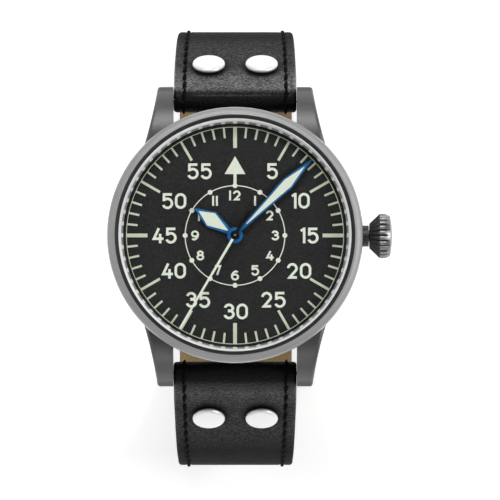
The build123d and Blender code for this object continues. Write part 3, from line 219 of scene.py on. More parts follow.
Strap = namedtuple("Strap", "side moves leather lining point rivet lining_inset seam_inset slot")
UPPER = Strap(1, [(0, UPPER_STRAIGHT), SIDE_ARC, (UPPER_BEND, UPPER_BEND * pi / 2), (0, UPPER_FLAT)],
              LEATHER, LINING, 0, UPPER_RIVET, UPPER_LINING_INSET, UPPER_SEAM_INSET,
              (TONGUE_SLOT_WIDTH, -TONGUE_SLOT_REACH, TONGUE_SLOT_REACH,
               BETWEEN_LAYERS, UPPER_BOTTOM + 4 * BUCKLE_ROLL))
LOWER = Strap(-1, [(0, LOWER_STRAIGHT), SIDE_ARC, (TAIL_BEND, TAIL_BEND * pi / 2), (0, TAIL_FLAT),
                   (WRAP_RADIUS, WRAP_RADIUS * TAIL_WRAP)],
              TAIL_LEATHER, TAIL_LINING, TAIL_POINT, LOWER_RIVET, LOWER_LINING_INSET, TAIL_POINT,
              (TAIL_HOLE_WIDTH, -TAIL_HOLE_FRONT, TAIL_HOLE_BACK, TAIL_BOTTOM - LEATHER, BETWEEN_LAYERS))


def route_length(strap):
    """Length of a strap's route, from where it leaves its spring bar to its end."""
    return sum(move[1] for move in strap.moves)


def on_route(strap, distance):
    """Place on a strap's outer face, the direction along it, and the direction into the leather."""
    y, z, heading = START_Y, START_Z, -EXIT_ANGLE
    left = distance
    for radius, length in strap.moves:
        step = min(left, length)
        if radius:
            centre_y = y + radius * sin(heading)
            centre_z = z - radius * cos(heading)
            heading -= step / radius
            y = centre_y - radius * sin(heading)
            z = centre_z + radius * cos(heading)
        else:
            y += step * cos(heading)
            z += step * sin(heading)
        left -= step
        if left <= 0:
            break
    along = Vector((0, strap.side * cos(heading), sin(heading)))
    inward = Vector((0, strap.side * sin(heading), -cos(heading)))
    return Vector((0, strap.side * y, z)), along, inward


def strap_half(z):
    """Half the strap's width at a height: full at the lugs, narrower in the buckle."""
    share = min(1, max(0, (TAPER_START_Z - z) / (TAPER_START_Z - TAPER_END_Z)))
    return STRAP_HALF + share * (STRAP_HALF_END - STRAP_HALF)


# Shader helpers. Object coordinates and the lengths worked out from them are in metres.


def new_material(name):
    """A material with its node tree and its Principled shader."""
    material = bpy.data.materials.new(name)
    material.use_nodes = True
    return material, material.node_tree, material.node_tree.nodes["Principled BSDF"]


def feed(tree, socket, value):
    """Link a socket to an output, or set it to a plain value."""
    if isinstance(value, bpy.types.NodeSocket):
        tree.links.new(value, socket)
    else:
        socket.default_value = value


def fill(tree, node, **values):
    """Feed a node's inputs by name, with spaces written as underscores."""
    for name, value in values.items():
        feed(tree, node.inputs[name.replace("_", " ")], value)
    return node


def add_node(tree, kind, **values):
    """A new node with its inputs fed by name."""
    return fill(tree, tree.nodes.new(kind), **values)


def maths(tree, operation, first, second=0.0):
    """The output of a Math node on numbers or sockets."""
    node = tree.nodes.new("ShaderNodeMath")
    node.operation = operation
    feed(tree, node.inputs[0], first)
    feed(tree, node.inputs[1], second)
    return node.outputs[0]


def times(tree, first, second):
    """The product of two numbers or sockets."""
    return maths(tree, "MULTIPLY", first, second)


def mixed(tree, share, first, second, blend="MIX"):
    """The colour between two colours or sockets."""
    node = tree.nodes.new("ShaderNodeMix")
    node.data_type = "RGBA"
    node.blend_type = blend
    for number, value in ((0, share), (6, first), (7, second)):
        feed(tree, node.inputs[number], value)
    return node.outputs[2]


def shaded(tree, colour, shade):
    """A colour made lighter and darker by a shade about 1."""
    shades = add_node(tree, "ShaderNodeCombineColor", Red=shade, Green=shade, Blue=shade)
    return mixed(tree, 1.0, colour, shades.outputs[0], "MULTIPLY")


def grey(value):
    """A grey as a colour."""
    return (value, value, value, 1.0)


def object_place(tree):
    """A place on the piece, as a vector."""
    return tree.nodes.new("ShaderNodeTexCoord").outputs["Object"]


def object_axes(tree):
    """The x, y and z of a place on the piece."""
    return tuple(add_node(tree, "ShaderNodeSeparateXYZ", Vector=object_place(tree)).outputs)


def axis_distance(tree, axis=2, height=0.0):
    """Distance from an axis through the origin or over it, and the place along it."""
    x, y, z = object_axes(tree)
    places = [x, y, maths(tree, "SUBTRACT", z, height)]
    squares = [times(tree, value, value) for number, value in enumerate(places) if number != axis]
    return maths(tree, "SQRT", maths(tree, "ADD", *squares)), places[axis]


def noise(tree, place, scale, detail, roughness=0.6):
    """Noise at so many grains a metre."""
    node = add_node(tree, "ShaderNodeTexNoise", Vector=place, Scale=scale, Detail=detail, Roughness=roughness)
    return node.outputs["Fac"]


def bump(tree, height, depth):
    """A Normal from a height, with the relief's depth in millimetres."""
    return add_node(tree, "ShaderNodeBump", Strength=1.0, Distance=depth * mm, Height=height).outputs["Normal"]


def between(tree, value, span, result=(0.0, 1.0)):
    """A value's share of a span, as another span, held at its ends."""
    node = add_node(tree, "ShaderNodeMapRange", Value=value, From_Min=span[0], From_Max=span[1],
                    To_Min=result[0], To_Max=result[1])
    return node.outputs[0]


def over(tree, length, span, result=(0.0, 1.0)):
    """What a length gives between the ends of a span in millimetres."""
    return between(tree, length, [end * mm for end in span], result)


GRAIN_INPUTS = ("Grains per metre", "Patches per metre", "Mottling", "Speckle")


def grain_group():
    """Fine grain with soft mottling: a height for bump, and a shade about 1 that varies colour."""
    group = bpy.data.node_groups.new("fine_grain", "ShaderNodeTree")
    for direction, names in (("INPUT", GRAIN_INPUTS), ("OUTPUT", ("Height", "Shade"))):
        for name in names:
            group.interface.new_socket(name, in_out=direction, socket_type="NodeSocketFloat")
    given = group.nodes.new("NodeGroupInput").outputs
    place = object_place(group)
    fine = add_node(group, "ShaderNodeTexNoise", Vector=place, Scale=given["Grains per metre"], Detail=3.0)
    broad = add_node(group, "ShaderNodeTexNoise", Vector=place, Scale=given["Patches per metre"], Detail=2.0)
    speckle = times(group, maths(group, "SUBTRACT", fine.outputs["Fac"], 0.5), given["Speckle"])
    mottle = times(group, maths(group, "SUBTRACT", broad.outputs["Fac"], 0.5), given["Mottling"])
    shade = maths(group, "ADD", maths(group, "ADD", speckle, mottle), 1.0)
    fill(group, group.nodes.new("NodeGroupOutput"), Height=fine.outputs["Fac"], Shade=shade)
    return group


fine_grain = grain_group()


def grained(tree, grains, patches, mottling, speckle):
    """Height and shade outputs of the shared grain, with a material's own values."""
    node = tree.nodes.new("ShaderNodeGroup")
    node.node_tree = fine_grain
    for name, value in zip(GRAIN_INPUTS, (grains, patches, mottling, speckle)):
        node.inputs[name].default_value = value
    return node.outputs["Height"], node.outputs["Shade"]


# Materials


def blasted_steel():
    """Bead-blasted steel: a fine even grain, soft highlights and slight mottling."""
    material, tree, shader = new_material("blasted_steel")
    height, shade = grained(tree, grains=9000.0, patches=260.0, mottling=0.16, speckle=0.3)
    fill(tree, shader, Base_Color=shaded(tree, grey(0.135), shade), Metallic=1.0,
         Roughness=between(tree, shade, (0.8, 1.2), (0.38, 0.48)), Normal=bump(tree, height, depth=0.03))
    return material


def bezel_steel():
    """The bezel: bead-blasted on top, its grey darkening outwards; thin polished lines at its edges painted lighter as
    a highlight; a polished bevel inside painted dark as shade.
    """
    material, tree, shader = new_material("bezel_steel")
    height, shade = grained(tree, grains=9000.0, patches=260.0, mottling=0.1, speckle=0.22)
    # Painted shade: the bevel's near-black grey stands in for the shade inside the bezel.
    bevel_shade, inner, outer, polished_highlight = grey(0.07), grey(0.46), grey(0.36), grey(0.54)
    radius = axis_distance(tree)[0]
    land = over(tree, radius, BEVEL_END)
    # Painted highlight: the thin edge lines are a lighter grey as well as smoother polished metal.
    from_highlight_line = maths(tree, "ABSOLUTE", maths(tree, "SUBTRACT", radius, INNER_HIGHLIGHT_RADIUS * mm))
    lines = maths(tree, "MAXIMUM", over(tree, from_highlight_line, INNER_HIGHLIGHT_FADE, (1.0, 0.0)),
                  over(tree, radius, OUTER_HIGHLIGHT))
    top = mixed(tree, lines, mixed(tree, over(tree, radius, BEZEL_TOP), inner, outer), polished_highlight)
    fill(tree, shader, Base_Color=shaded(tree, mixed(tree, land, bevel_shade, top), shade), Metallic=1.0,
         Roughness=between(tree, maths(tree, "SUBTRACT", land, lines), (0.0, 1.0), (0.38, 0.6)),
         Normal=bump(tree, height, depth=0.02))
    return material


def flange_painted_reflection():
    """The flange ring: painted shade low down by the dial, then bright metal with painted grey reflections as dashes
    between each two minutes.
    """
    material, tree, shader = new_material("flange_painted_reflection")
    height, shade = grained(tree, grains=3000.0, patches=180.0, mottling=0.05, speckle=0.04)
    groove, metal, reflected_dashes = grey(0.01), grey(0.98), grey(0.34)
    x, y, z = object_axes(tree)
    # Painted reflection: grey dashes between the minutes stand in for the dial's black mirrored between its white
    # marks.
    minutes = times(tree, maths(tree, "ARCTAN2", x, y), REFLECTIONS_PER_RADIAN)
    painted_reflection = times(tree, between(tree, maths(tree, "COSINE", minutes), REFLECTION_EDGE, (1.0, 0.0)),
                 over(tree, z, REFLECTION_TOP, (1.0, 0.0)))
    # Painted shade: near-black below this height, where the dial meets the flange.
    above_shade = over(tree, z, FLANGE_SHADE_TOP)
    colour = mixed(tree, above_shade, groove, mixed(tree, painted_reflection, metal, reflected_dashes))
    fill(tree, shader, Base_Color=shaded(tree, colour, shade),
         Metallic=between(tree, above_shade, (0.0, 1.0), (0.0, 0.25)),
         Roughness=between(tree, height, (0.3, 0.7), (0.02, 0.04)))
    return material


def seconds_paint():
    """The seconds hand: black lacquer, its long needle pale luminous paint, a steel pin at the hub."""
    material, tree, shader = new_material("seconds_paint")
    height, shade = grained(tree, grains=3800.0, patches=420.0, mottling=0.06, speckle=0.1)
    lacquer, paint, steel = grey(0.003), (0.78, 0.83, 0.72, 1.0), grey(0.25)
    x, y = object_axes(tree)[:2]
    along = maths(tree, "ADD", times(tree, x, sin(SECONDS_ANGLE)), times(tree, y, cos(SECONDS_ANGLE)))
    pin = over(tree, axis_distance(tree)[0], HUB_PIN, (1.0, 0.0))
    colour = mixed(tree, pin, mixed(tree, over(tree, along, NEEDLE_START), lacquer, paint), steel)
    fill(tree, shader, Base_Color=shaded(tree, colour, shade), Normal=bump(tree, height, depth=0.01),
         Roughness=0.5, Specular_IOR_Level=0.1)
    return material


def lined_metal(tree, shader, lines, colour, shades, roughness, depth):
    """Metal whose colour, roughness and relief follow its fine lines."""
    fill(tree, shader, Base_Color=shaded(tree, colour, between(tree, lines, (0.25, 0.75), shades)),
         Roughness=between(tree, lines, (0.3, 0.7), roughness), Normal=bump(tree, lines, depth), Metallic=1.0)


def brushed_steel():
    """Steel with fine lines across the strap."""
    material, tree, shader = new_material("brushed_steel")
    stretched = add_node(tree, "ShaderNodeMapping", Vector=object_place(tree), Scale=(0.08, 4.0, 4.0))
    lines = noise(tree, stretched.outputs[0], scale=300.0, detail=4.0, roughness=0.7)
    lined_metal(tree, shader, lines, grey(0.42), shades=(0.82, 1.14), roughness=(0.24, 0.38), depth=0.02)
    return material


def turned_steel(name, colour, roughness):
    """Metal with fine concentric lines round the watch's axis."""
    material, tree, shader = new_material(name)
    turns = [times(tree, length, 9000.0) for length in axis_distance(tree)]
    place = add_node(tree, "ShaderNodeCombineXYZ", X=turns[0], Y=turns[1])
    lines = noise(tree, place.outputs[0], scale=1.0, detail=3.0)
    lined_metal(tree, shader, lines, colour, shades=(0.85, 1.12), roughness=(roughness - 0.05, roughness + 0.07),
                depth=0.015)
    return material


def polished_steel(name, colour, roughness):
    """Polished steel with the faintest haze and hairline marks."""
    material, tree, shader = new_material(name)
    height, shade = grained(tree, grains=3000.0, patches=180.0, mottling=0.05, speckle=0.04)
    fill(tree, shader, Base_Color=shaded(tree, colour, shade), Metallic=1.0,
         Roughness=between(tree, height, (0.3, 0.7), (roughness * 0.7, roughness * 1.4)))
    return material


def crown_steel():
    """The crown: satin steel, with painted shade down its cone and in the grooves, and painted highlights on the
    lobes' crests and the end.
    """
    material, tree, shader = new_material("crown_steel")
    height, shade = grained(tree, grains=7000.0, patches=500.0, mottling=0.1, speckle=0.2)
    # Painted light: the flutes near-black and the cone darker as painted shade, the lobes' crests and the end lighter
    # as painted highlight.
    groove, cone_shade, lobe_highlight = grey(0.012), grey(0.2), grey(0.3)
    radius, along = axis_distance(tree, 0, STEM_HEIGHT * mm)
    crest = over(tree, along, CROWN_CONE, [end * mm for end in CROWN_CREST])
    lobe = over(tree, maths(tree, "SUBTRACT", radius, crest), CROWN_FLUTE)
    wear_and_highlight = maths(tree, "MAXIMUM", lobe, over(tree, along, CROWN_SHOULDER))
    colour = mixed(tree, wear_and_highlight, groove, mixed(tree, over(tree, along, CROWN_BARREL), cone_shade, lobe_highlight))
    fill(tree, shader, Base_Color=shaded(tree, colour, shade), Metallic=1.0,
         Roughness=between(tree, height, (0.3, 0.7), (0.32, 0.42)))
    return material


def blued_steel():
    """Heat-blued steel with a satin face."""
    material, tree, shader = new_material("blued_steel")
    lines = noise(tree, object_place(tree), scale=700.0, detail=3.0)
    dark, light = (0.004, 0.11, 0.30, 1.0), (0.008, 0.17, 0.44, 1.0)
    fill(tree, shader, Base_Color=mixed(tree, between(tree, lines, (0.3, 0.7)), dark, light), Metallic=0.4,
         Roughness=between(tree, lines, (0.3, 0.7), (0.3, 0.42)), Normal=bump(tree, lines, depth=0.02))
    return material


def plain(name, colour, roughness, depth, specular=0.5, **grain):
    """One colour with a fine grain: lacquer, paint, plastic or rubber."""
    material, tree, shader = new_material(name)
    height, shade = grained(tree, **grain)
    fill(tree, shader, Base_Color=shaded(tree, colour, shade), Normal=bump(tree, height, depth),
         Roughness=roughness, Specular_IOR_Level=specular)
    return material


def luminous_paint():
    """Pale green luminous paint: the figures nearly white, the minute track greener."""
    material, tree, shader = new_material("luminous_paint")
    height, shade = grained(tree, grains=4200.0, patches=300.0, mottling=0.05, speckle=0.22)
    figures, track = (0.76, 0.82, 0.70, 1.0), (0.58, 0.66, 0.50, 1.0)
    colour = mixed(tree, over(tree, axis_distance(tree)[0], TRACK_START), figures, track)
    fill(tree, shader, Base_Color=shaded(tree, colour, shade), Normal=bump(tree, height, depth=0.03),
         Roughness=0.7, Specular_IOR_Level=0.2)
    return material


def crystal_glass():
    """Coated sapphire: clear, nearly without reflections, and clear to the light that falls on the dial."""
    material, tree, shader = new_material("crystal_glass")
    fill(tree, shader, Base_Color=grey(1.0), Roughness=0.0, IOR=1.06, Transmission_Weight=1.0)
    clear = tree.nodes.new("ShaderNodeBsdfTransparent")
    path = tree.nodes.new("ShaderNodeLightPath").outputs
    mix = tree.nodes.new("ShaderNodeMixShader")
    feed(tree, mix.inputs[0], maths(tree, "MAXIMUM", path["Is Shadow Ray"], path["Is Diffuse Ray"]))
    feed(tree, mix.inputs[1], shader.outputs[0])
    feed(tree, mix.inputs[2], clear.outputs[0])
    fill(tree, tree.nodes["Material Output"], Surface=mix.outputs[0])
    return material


def by_side(tree, y, lower, upper):
    """One value on the 6 o'clock strap and another on the 12 o'clock strap."""
    return over(tree, y, (-1.0, 1.0), (lower, upper))


def rivet_ring(tree, x, y, z):
    """A mask that is 0 beside a rivet's head, where the leather is pressed dull, and 1 away from it."""
    reach = maths(tree, "ABSOLUTE", y)
    across = maths(tree, "SUBTRACT", maths(tree, "ABSOLUTE", x), RIVET_X * mm)
    along = maths(tree, "SUBTRACT", times(tree, maths(tree, "SUBTRACT", reach, START_Y * mm), cos(EXIT_ANGLE)),
                  times(tree, maths(tree, "SUBTRACT", z, START_Z * mm), sin(EXIT_ANGLE)))
    beside = maths(tree, "SUBTRACT", along, by_side(tree, y, LOWER_RIVET * mm, UPPER_RIVET * mm))
    distance = maths(tree, "SQRT", maths(tree, "ADD", times(tree, across, across), times(tree, beside, beside)))
    return over(tree, distance, RIVET_PRESS)


def leather(name, colour, pores, depth, roughness, gloss):
    """Calf leather: a pebbled grain with pores, waxed beside the lugs, polished where it is handled and worn."""
    material, tree, shader = new_material(name)
    cells = add_node(tree, "ShaderNodeTexVoronoi", Vector=object_place(tree), Scale=pores)
    fine, shade = grained(tree, grains=pores, patches=90.0, mottling=0.3, speckle=0.9)
    height = maths(tree, "ADD", times(tree, cells.outputs["Distance"], -0.6), times(tree, fine, 0.9))
    x, y, z = object_axes(tree)
    reach = maths(tree, "ABSOLUTE", y)
    dull = over(tree, reach, DULL_REACH, (roughness, FAR_ROUGHNESS))
    fold_end = by_side(tree, y, WAX_START["lower"] * mm, WAX_START["upper"] * mm)
    rise = over(tree, maths(tree, "SUBTRACT", reach, fold_end), WAX_RISE, (0.0, gloss))
    wax = times(tree, times(tree, rise, over(tree, reach, WAX_FADE, (1.0, LEAST_GLOSS))),
                by_side(tree, y, LOWER_WAX, 1.0))
    handled = times(tree, over(tree, reach, HANDLED_REACH, (0.0, HANDLED_GLOSS * gloss)),
                    over(tree, z, HANDLED_HEIGHT))
    wear_and_highlight = over(tree, z, WORN_HEIGHT, (HANDLED_GLOSS * gloss, LEAST_GLOSS * gloss))
    shine = maths(tree, "MAXIMUM", wax, maths(tree, "MAXIMUM", handled, wear_and_highlight))
    pressed = times(tree, shine, rivet_ring(tree, x, y, z))
    fill(tree, shader, Base_Color=shaded(tree, colour, shade), Normal=bump(tree, height, depth),
         Roughness=maths(tree, "ADD", dull, between(tree, fine, (0.3, 0.7), (-0.08, 0.05))),
         Coat_Weight=times(tree, pressed, between(tree, fine, GLOSSY_GRAIN, GRAIN_GLOSS)),
         Coat_Roughness=0.3, Specular_IOR_Level=0.1)
    return material


def rivet_nickel():
    """Nickel rivets, polished white on the face, with painted shade darkening the rim down to the foot."""
    material, tree, shader = new_material("rivet_nickel")
    height, shade = grained(tree, grains=3000.0, patches=180.0, mottling=0.05, speckle=0.04)
    y, z = object_axes(tree)[1:]
    rise = maths(tree, "ADD", times(tree, maths(tree, "ABSOLUTE", y), sin(EXIT_ANGLE)),
                 times(tree, z, cos(EXIT_ANGLE)))
    foot = START_Y * sin(EXIT_ANGLE) + START_Z * cos(EXIT_ANGLE)
    # Painted shade: the rim is near-black from the foot up, standing in for the rivet's shaded side and contact
    # shadow.
    unshaded_face = over(tree, rise, [foot + end for end in RIVET_FOOT])
    fill(tree, shader, Base_Color=shaded(tree, mixed(tree, unshaded_face, grey(0.07), grey(0.95)), shade),
         Roughness=between(tree, height, (0.3, 0.7), (0.46, 0.54)), Metallic=0.7)
    return material


def waxed_thread():
    """Waxed black thread with the twist of its plies."""
    material, tree, shader = new_material("black_thread")
    wave = add_node(tree, "ShaderNodeTexWave", Vector=object_place(tree), Scale=900.0, Distortion=1.5, Detail=2.0)
    wave.bands_direction = "DIAGONAL"
    plies = wave.outputs["Fac"]
    fill(tree, shader, Base_Color=shaded(tree, grey(0.004), between(tree, plies, (0.0, 1.0), (0.6, 1.3))),
         Normal=bump(tree, plies, depth=0.06), Roughness=0.8, Specular_IOR_Level=0.06)
    return material


RIVET = rivet_nickel()
BLACK_LEATHER = leather("black_leather", grey(0.004), pores=2300.0, depth=0.16, roughness=0.5, gloss=1.0)
TAN_LEATHER = leather("tan_leather", (0.3, 0.22, 0.11, 1.0), pores=3000.0, depth=0.06, roughness=0.62, gloss=0.0)
THREAD = waxed_thread()

node_materials = {
    blasted_steel(): ["mid_case"],
    bezel_steel(): ["bezel"],
    # The crown tube: a dark copy of the polished steel, painted shade for the neck between case and crown.
    polished_steel("shaded_tube_steel", grey(0.07), 0.45): ["crown_tube"],
    polished_steel("polished_steel", (0.72, 0.72, 0.71, 1.0), 0.07): [
        "spring_bar_12", "spring_bar_6", "bar_tip_12_left", "bar_tip_12_right",
        "bar_tip_6_left", "bar_tip_6_right", "buckle_bar"],
    flange_painted_reflection(): ["flange_ring"],
    turned_steel("turned_steel", grey(0.42), 0.3): [
        "case_back", "rotor_bearing", "ratchet_wheel", "cannon_pinion", "seconds_pinion", "movement_ring"],
    brushed_steel(): [
        "buckle_frame", "buckle_tongue", "winding_stem", "clutch_pinion", "case_clamps", "clamp_screws",
        "bridge_screws", "escape_wheel", "pallet_fork"],
    crown_steel(): ["crown"],
    turned_steel("rhodium_plate", (0.55, 0.54, 0.51, 1.0), 0.35): [
        "main_plate", "train_bridge", "balance_bridge", "rotor"],
    turned_steel("gilt_brass", (0.62, 0.44, 0.2, 1.0), 0.3): [
        "hour_wheel", "minute_wheel", "mainspring_barrel", "balance_wheel"],
    blued_steel(): ["hour_hand", "minute_hand"],
    seconds_paint(): ["seconds_hand"],
    plain("dial_black", grey(0.0195), roughness=0.75, depth=0.04, specular=0.12,
          grains=3400.0, patches=120.0, mottling=0.2, speckle=1.5): ["dial"],
    luminous_paint(): ["dial_markings"],
    plain("hand_lume", (0.74, 0.80, 0.67, 1.0), roughness=0.55, depth=0.02,
          grains=3800.0, patches=420.0, mottling=0.1, speckle=0.12): ["hour_hand_lume", "minute_hand_lume"],
    crystal_glass(): ["crystal"],
    plain("white_gasket", grey(0.9), roughness=0.4, depth=0.01,
          grains=6000.0, patches=300.0, mottling=0.06, speckle=0.03): ["crystal_gasket"],
    plain("black_rubber", grey(0.018), roughness=0.6, depth=0.01,
          grains=6000.0, patches=300.0, mottling=0.06, speckle=0.2): ["case_back_gasket", "crown_gasket"],
}
for material, names in node_materials.items():
    for name in names:
        for material_slot in nodes[name].material_slots:
            material_slot.material = material


# Mesh helpers, in millimetres


def link_object(name, data):
    """A new object in the scene."""
    piece = bpy.data.objects.new(name, data)
    bpy.context.scene.collection.objects.link(piece)
    return piece


def shade_mesh(mesh):
    """Smooth shading that keeps the sharp edges."""
    mesh.shade_smooth()
    mesh.set_sharp_from_angle(angle=SMOOTH_ANGLE)


def mesh_piece(name, points, faces, material):
    """A piece from its points, with its doubles merged and its faces turned outwards."""
    mesh = bpy.data.meshes.new(name)
    mesh.from_pydata([tuple(coordinate * mm for coordinate in point) for point in points], [], faces)
    mesh.materials.append(material)
    work = bmesh.new()
    work.from_mesh(mesh)
    bmesh.ops.remove_doubles(work, verts=work.verts, dist=MERGE_DISTANCE)
    bmesh.ops.recalc_face_normals(work, faces=work.faces)
    work.to_mesh(mesh)
    work.free()
    shade_mesh(mesh)
    return link_object(name, mesh)


def arc(centre, radius, start, end, steps):
    """Points along an arc between two angles in degrees, with both its ends."""
    turns = [radians(start + (end - start) * step / steps) for step in range(steps + 1)]
    return [(centre[0] + radius * cos(turn), centre[1] + radius * sin(turn)) for turn in turns]


def ring_faces(first, rings, count, closed=False):
    """Quads between rings of points that follow each other, back to the first ring where closed."""
    faces = []
    for ring in range(rings if closed else rings - 1):
        here, there = first + ring * count, first + (ring + 1) % rings * count
        for number in range(count):
            following = (number + 1) % count
            faces.append((here + number, here + following, there + following, there + number))
    return faces


def section(half, thickness, corner, groove):
    """A strap's cross-section: (across, depth) points round it, with rounded edges and stitching grooves."""
    seams = (STITCH_INSET - half, half - STITCH_INSET)
    across = [corner - half, -half / 2, 0.0, half / 2, half - corner]
    across += [seam + GROOVE_HALF * share for seam in seams for share in (-1, -0.5, 0, 0.5, 1)]
    top = []
    for x in sorted(across):
        nearest = min(abs(x - seam) for seam in seams)
        top.append((x, GROOVE_DEPTH * groove * max(0, 1 - (nearest / GROOVE_HALF) ** 2)))
    foot = corner / 2
    edges = []
    for centre, radius, start in (((half - corner, corner), corner, -90), ((half - foot, thickness - foot), foot, 0),
                                  ((foot - half, thickness - foot), foot, 90), ((corner - half, corner), corner, 180)):
        edges += arc(centre, radius, start, start + 90, EDGE_STEPS)
    return top + edges[1:-1]


def swept_band(name, stations, material):
    """A leather band through stations of (place, inward, half width, thickness, corner, groove)."""
    points = []
    for place, inward, *sizes in stations:
        points += [place + inward * depth + Vector((across, 0, 0)) for across, depth in section(*sizes)]
    count = len(points) // len(stations)
    faces = ring_faces(0, len(stations), count)
    faces += [tuple(range(count)), tuple(range(len(points) - count, len(points)))]
    return mesh_piece(name, points, faces, material)


def end_taper(distance, reach):
    """Share of full size near a band's end, where its leather is skived and rounded off."""
    if distance >= reach:
        return 1.0
    return sqrt(max(SKIVE_LEFT, 1 - (1 - distance / reach) ** 2))


def spaced(start, end, pitch):
    """Evenly spaced distances from start to end, about a pitch apart."""
    count = max(1, round((end - start) / pitch))
    return [start + (end - start) * step / count for step in range(count + 1)]


def point_half(strap, left):
    """Half the width of a strap's rounded point, at a distance from its tip."""
    radius = (STRAP_HALF_END ** 2 + strap.point ** 2) / (2 * strap.point)
    return sqrt(max(0, radius ** 2 - (radius - left) ** 2))


def bar_roll(strap):
    """The roll round the spring bar, from its flap to the route: (place, outward, share of the way)."""
    along, inward = on_route(strap, 0)[1:]
    bar = Vector((0, strap.side * BAR_Y, BAR_Z))
    roll = []
    for step in range(1, ROLL_STEPS):
        turn = pi * step / ROLL_STEPS
        outward = inward * cos(turn) - along * sin(turn)
        roll.append((bar + outward * ROLL_RADIUS, outward, step / ROLL_STEPS))
    return roll


def outer_stations(strap):
    """Stations of a strap's outer leather: its flap, the roll round the spring bar, and its whole route."""
    stations = []
    flap_outer = 2 * ROLL_RADIUS
    flap = flap_outer - strap.leather - strap.lining - FLAP_CLEARANCE
    for distance in reversed(spaced(FLAP_START, FLAP_LENGTH, STATION_PITCH)):
        place, _, inward = on_route(strap, distance)
        size = end_taper(FLAP_LENGTH - distance, SKIVE_LENGTH)
        stations.append((place + inward * flap_outer, -inward, STRAP_HALF - EDGE_CORNER * (1 - size),
                         flap * size, EDGE_CORNER * min(1, flap * size), 0.0))
    stations += [(place, -outward, STRAP_HALF, ROLL_LEATHER, EDGE_CORNER, max(0.0, share * 2 - 1))
                 for place, outward, share in bar_roll(strap)]
    end = route_length(strap)
    for distance in spaced(0.0, end, STATION_PITCH):
        place, _, inward = on_route(strap, distance)
        left = end - distance
        half = strap_half(place.z)
        thickness = ROLL_LEATHER + (strap.leather - ROLL_LEATHER) * min(1, distance / ROLL_BLEND)
        if not strap.point:
            thickness = min(thickness, BUCKLE_ROLL_LEATHER + max(0, left - SKIVE_LENGTH) * SKIVE_SLOPE)
        elif left < strap.point:
            half = max(TIP_HALF, point_half(strap, left))
            thickness *= end_taper(left, TIP_SKIVE)
        corner = min(EDGE_CORNER, half / 2, thickness * EDGE_CORNER_SHARE)
        stations.append((place, inward, half, thickness, corner, 1.0))
    return stations


def buckle_roll():
    """Stations of the upper strap's end, which goes on round the buckle's bar."""
    stations = []
    bar = Vector((0, 0, UPPER_BOTTOM + BUCKLE_ROLL))
    for step in range(1, BUCKLE_ROLL_STEPS + 1):
        turn = pi * step / BUCKLE_ROLL_STEPS
        outward = Vector((0, -sin(turn), -cos(turn)))
        stations.append((bar + outward * BUCKLE_ROLL, -outward, STRAP_HALF_END, BUCKLE_ROLL_LEATHER,
                         BUCKLE_CORNER, max(0.0, 1 - 4 * step / BUCKLE_ROLL_STEPS)))
    stations.append((bar + Vector((0, BUCKLE_END_Y, BUCKLE_ROLL)), Vector((0, 0, -1)), STRAP_HALF_END,
                     BUCKLE_END_THICKNESS, BUCKLE_END_CORNER, 0.0))
    return stations


def lining_stations(strap):
    """Stations of a strap's lining, under its outer leather."""
    stations = []
    whole = route_length(strap)
    for distance in spaced(LINING_START, whole - strap.lining_inset, STATION_PITCH):
        place, _, inward = on_route(strap, distance)
        left = whole - distance
        half = strap_half(place.z) - LINING_MARGIN
        if left < strap.point:
            half = max(LINING_TIP_HALF, point_half(strap, left) - LINING_MARGIN)
        stations.append((place + inward * (strap.leather + LINING_GAP), inward, half,
                         strap.lining - 2 * LINING_GAP, min(LINING_CORNER, half / 3), 0.0))
    return stations


def cut_slot(piece, width, front, back, bottom, top):
    """Cut a round-ended slot through the flat of a strap's layer."""
    end = width / 2
    outline = arc((0, back - end), end, 0, 180, SLOT_STEPS) + arc((0, front + end), end, 180, 360, SLOT_STEPS)
    count = len(outline)
    points = [(x, y, z) for z in (bottom, top) for x, y in outline]
    faces = ring_faces(0, 2, count) + [tuple(range(count)), tuple(range(count, 2 * count))]
    cutter = mesh_piece("slot_cutter", points, faces, piece.data.materials[0])
    modifier = piece.modifiers.new("slot", "BOOLEAN")
    modifier.operation = "DIFFERENCE"
    modifier.solver = "EXACT"
    modifier.object = cutter
    graph = bpy.context.evaluated_depsgraph_get()
    mesh = bpy.data.meshes.new_from_object(piece.evaluated_get(graph))
    piece.modifiers.clear()
    whole = piece.data
    piece.data = mesh
    bpy.data.meshes.remove(whole)
    bpy.data.objects.remove(cutter)
    mesh.name = piece.name
    shade_mesh(mesh)


def strap_layer(name, strap, stations, material):
    """One layer of a strap with the slot that the buckle's tongue goes through."""
    piece = swept_band(name, stations, material)
    cut_slot(piece, *strap.slot)
    return piece


upper_leather = strap_layer("upper_strap_leather", UPPER, outer_stations(UPPER) + buckle_roll(), BLACK_LEATHER)
lower_leather = strap_layer("lower_strap_leather", LOWER, outer_stations(LOWER), BLACK_LEATHER)
upper_lining = strap_layer("upper_strap_tan_lining", UPPER, lining_stations(UPPER), TAN_LEATHER)
lower_lining = strap_layer("lower_strap_tan_lining", LOWER, lining_stations(LOWER), TAN_LEATHER)


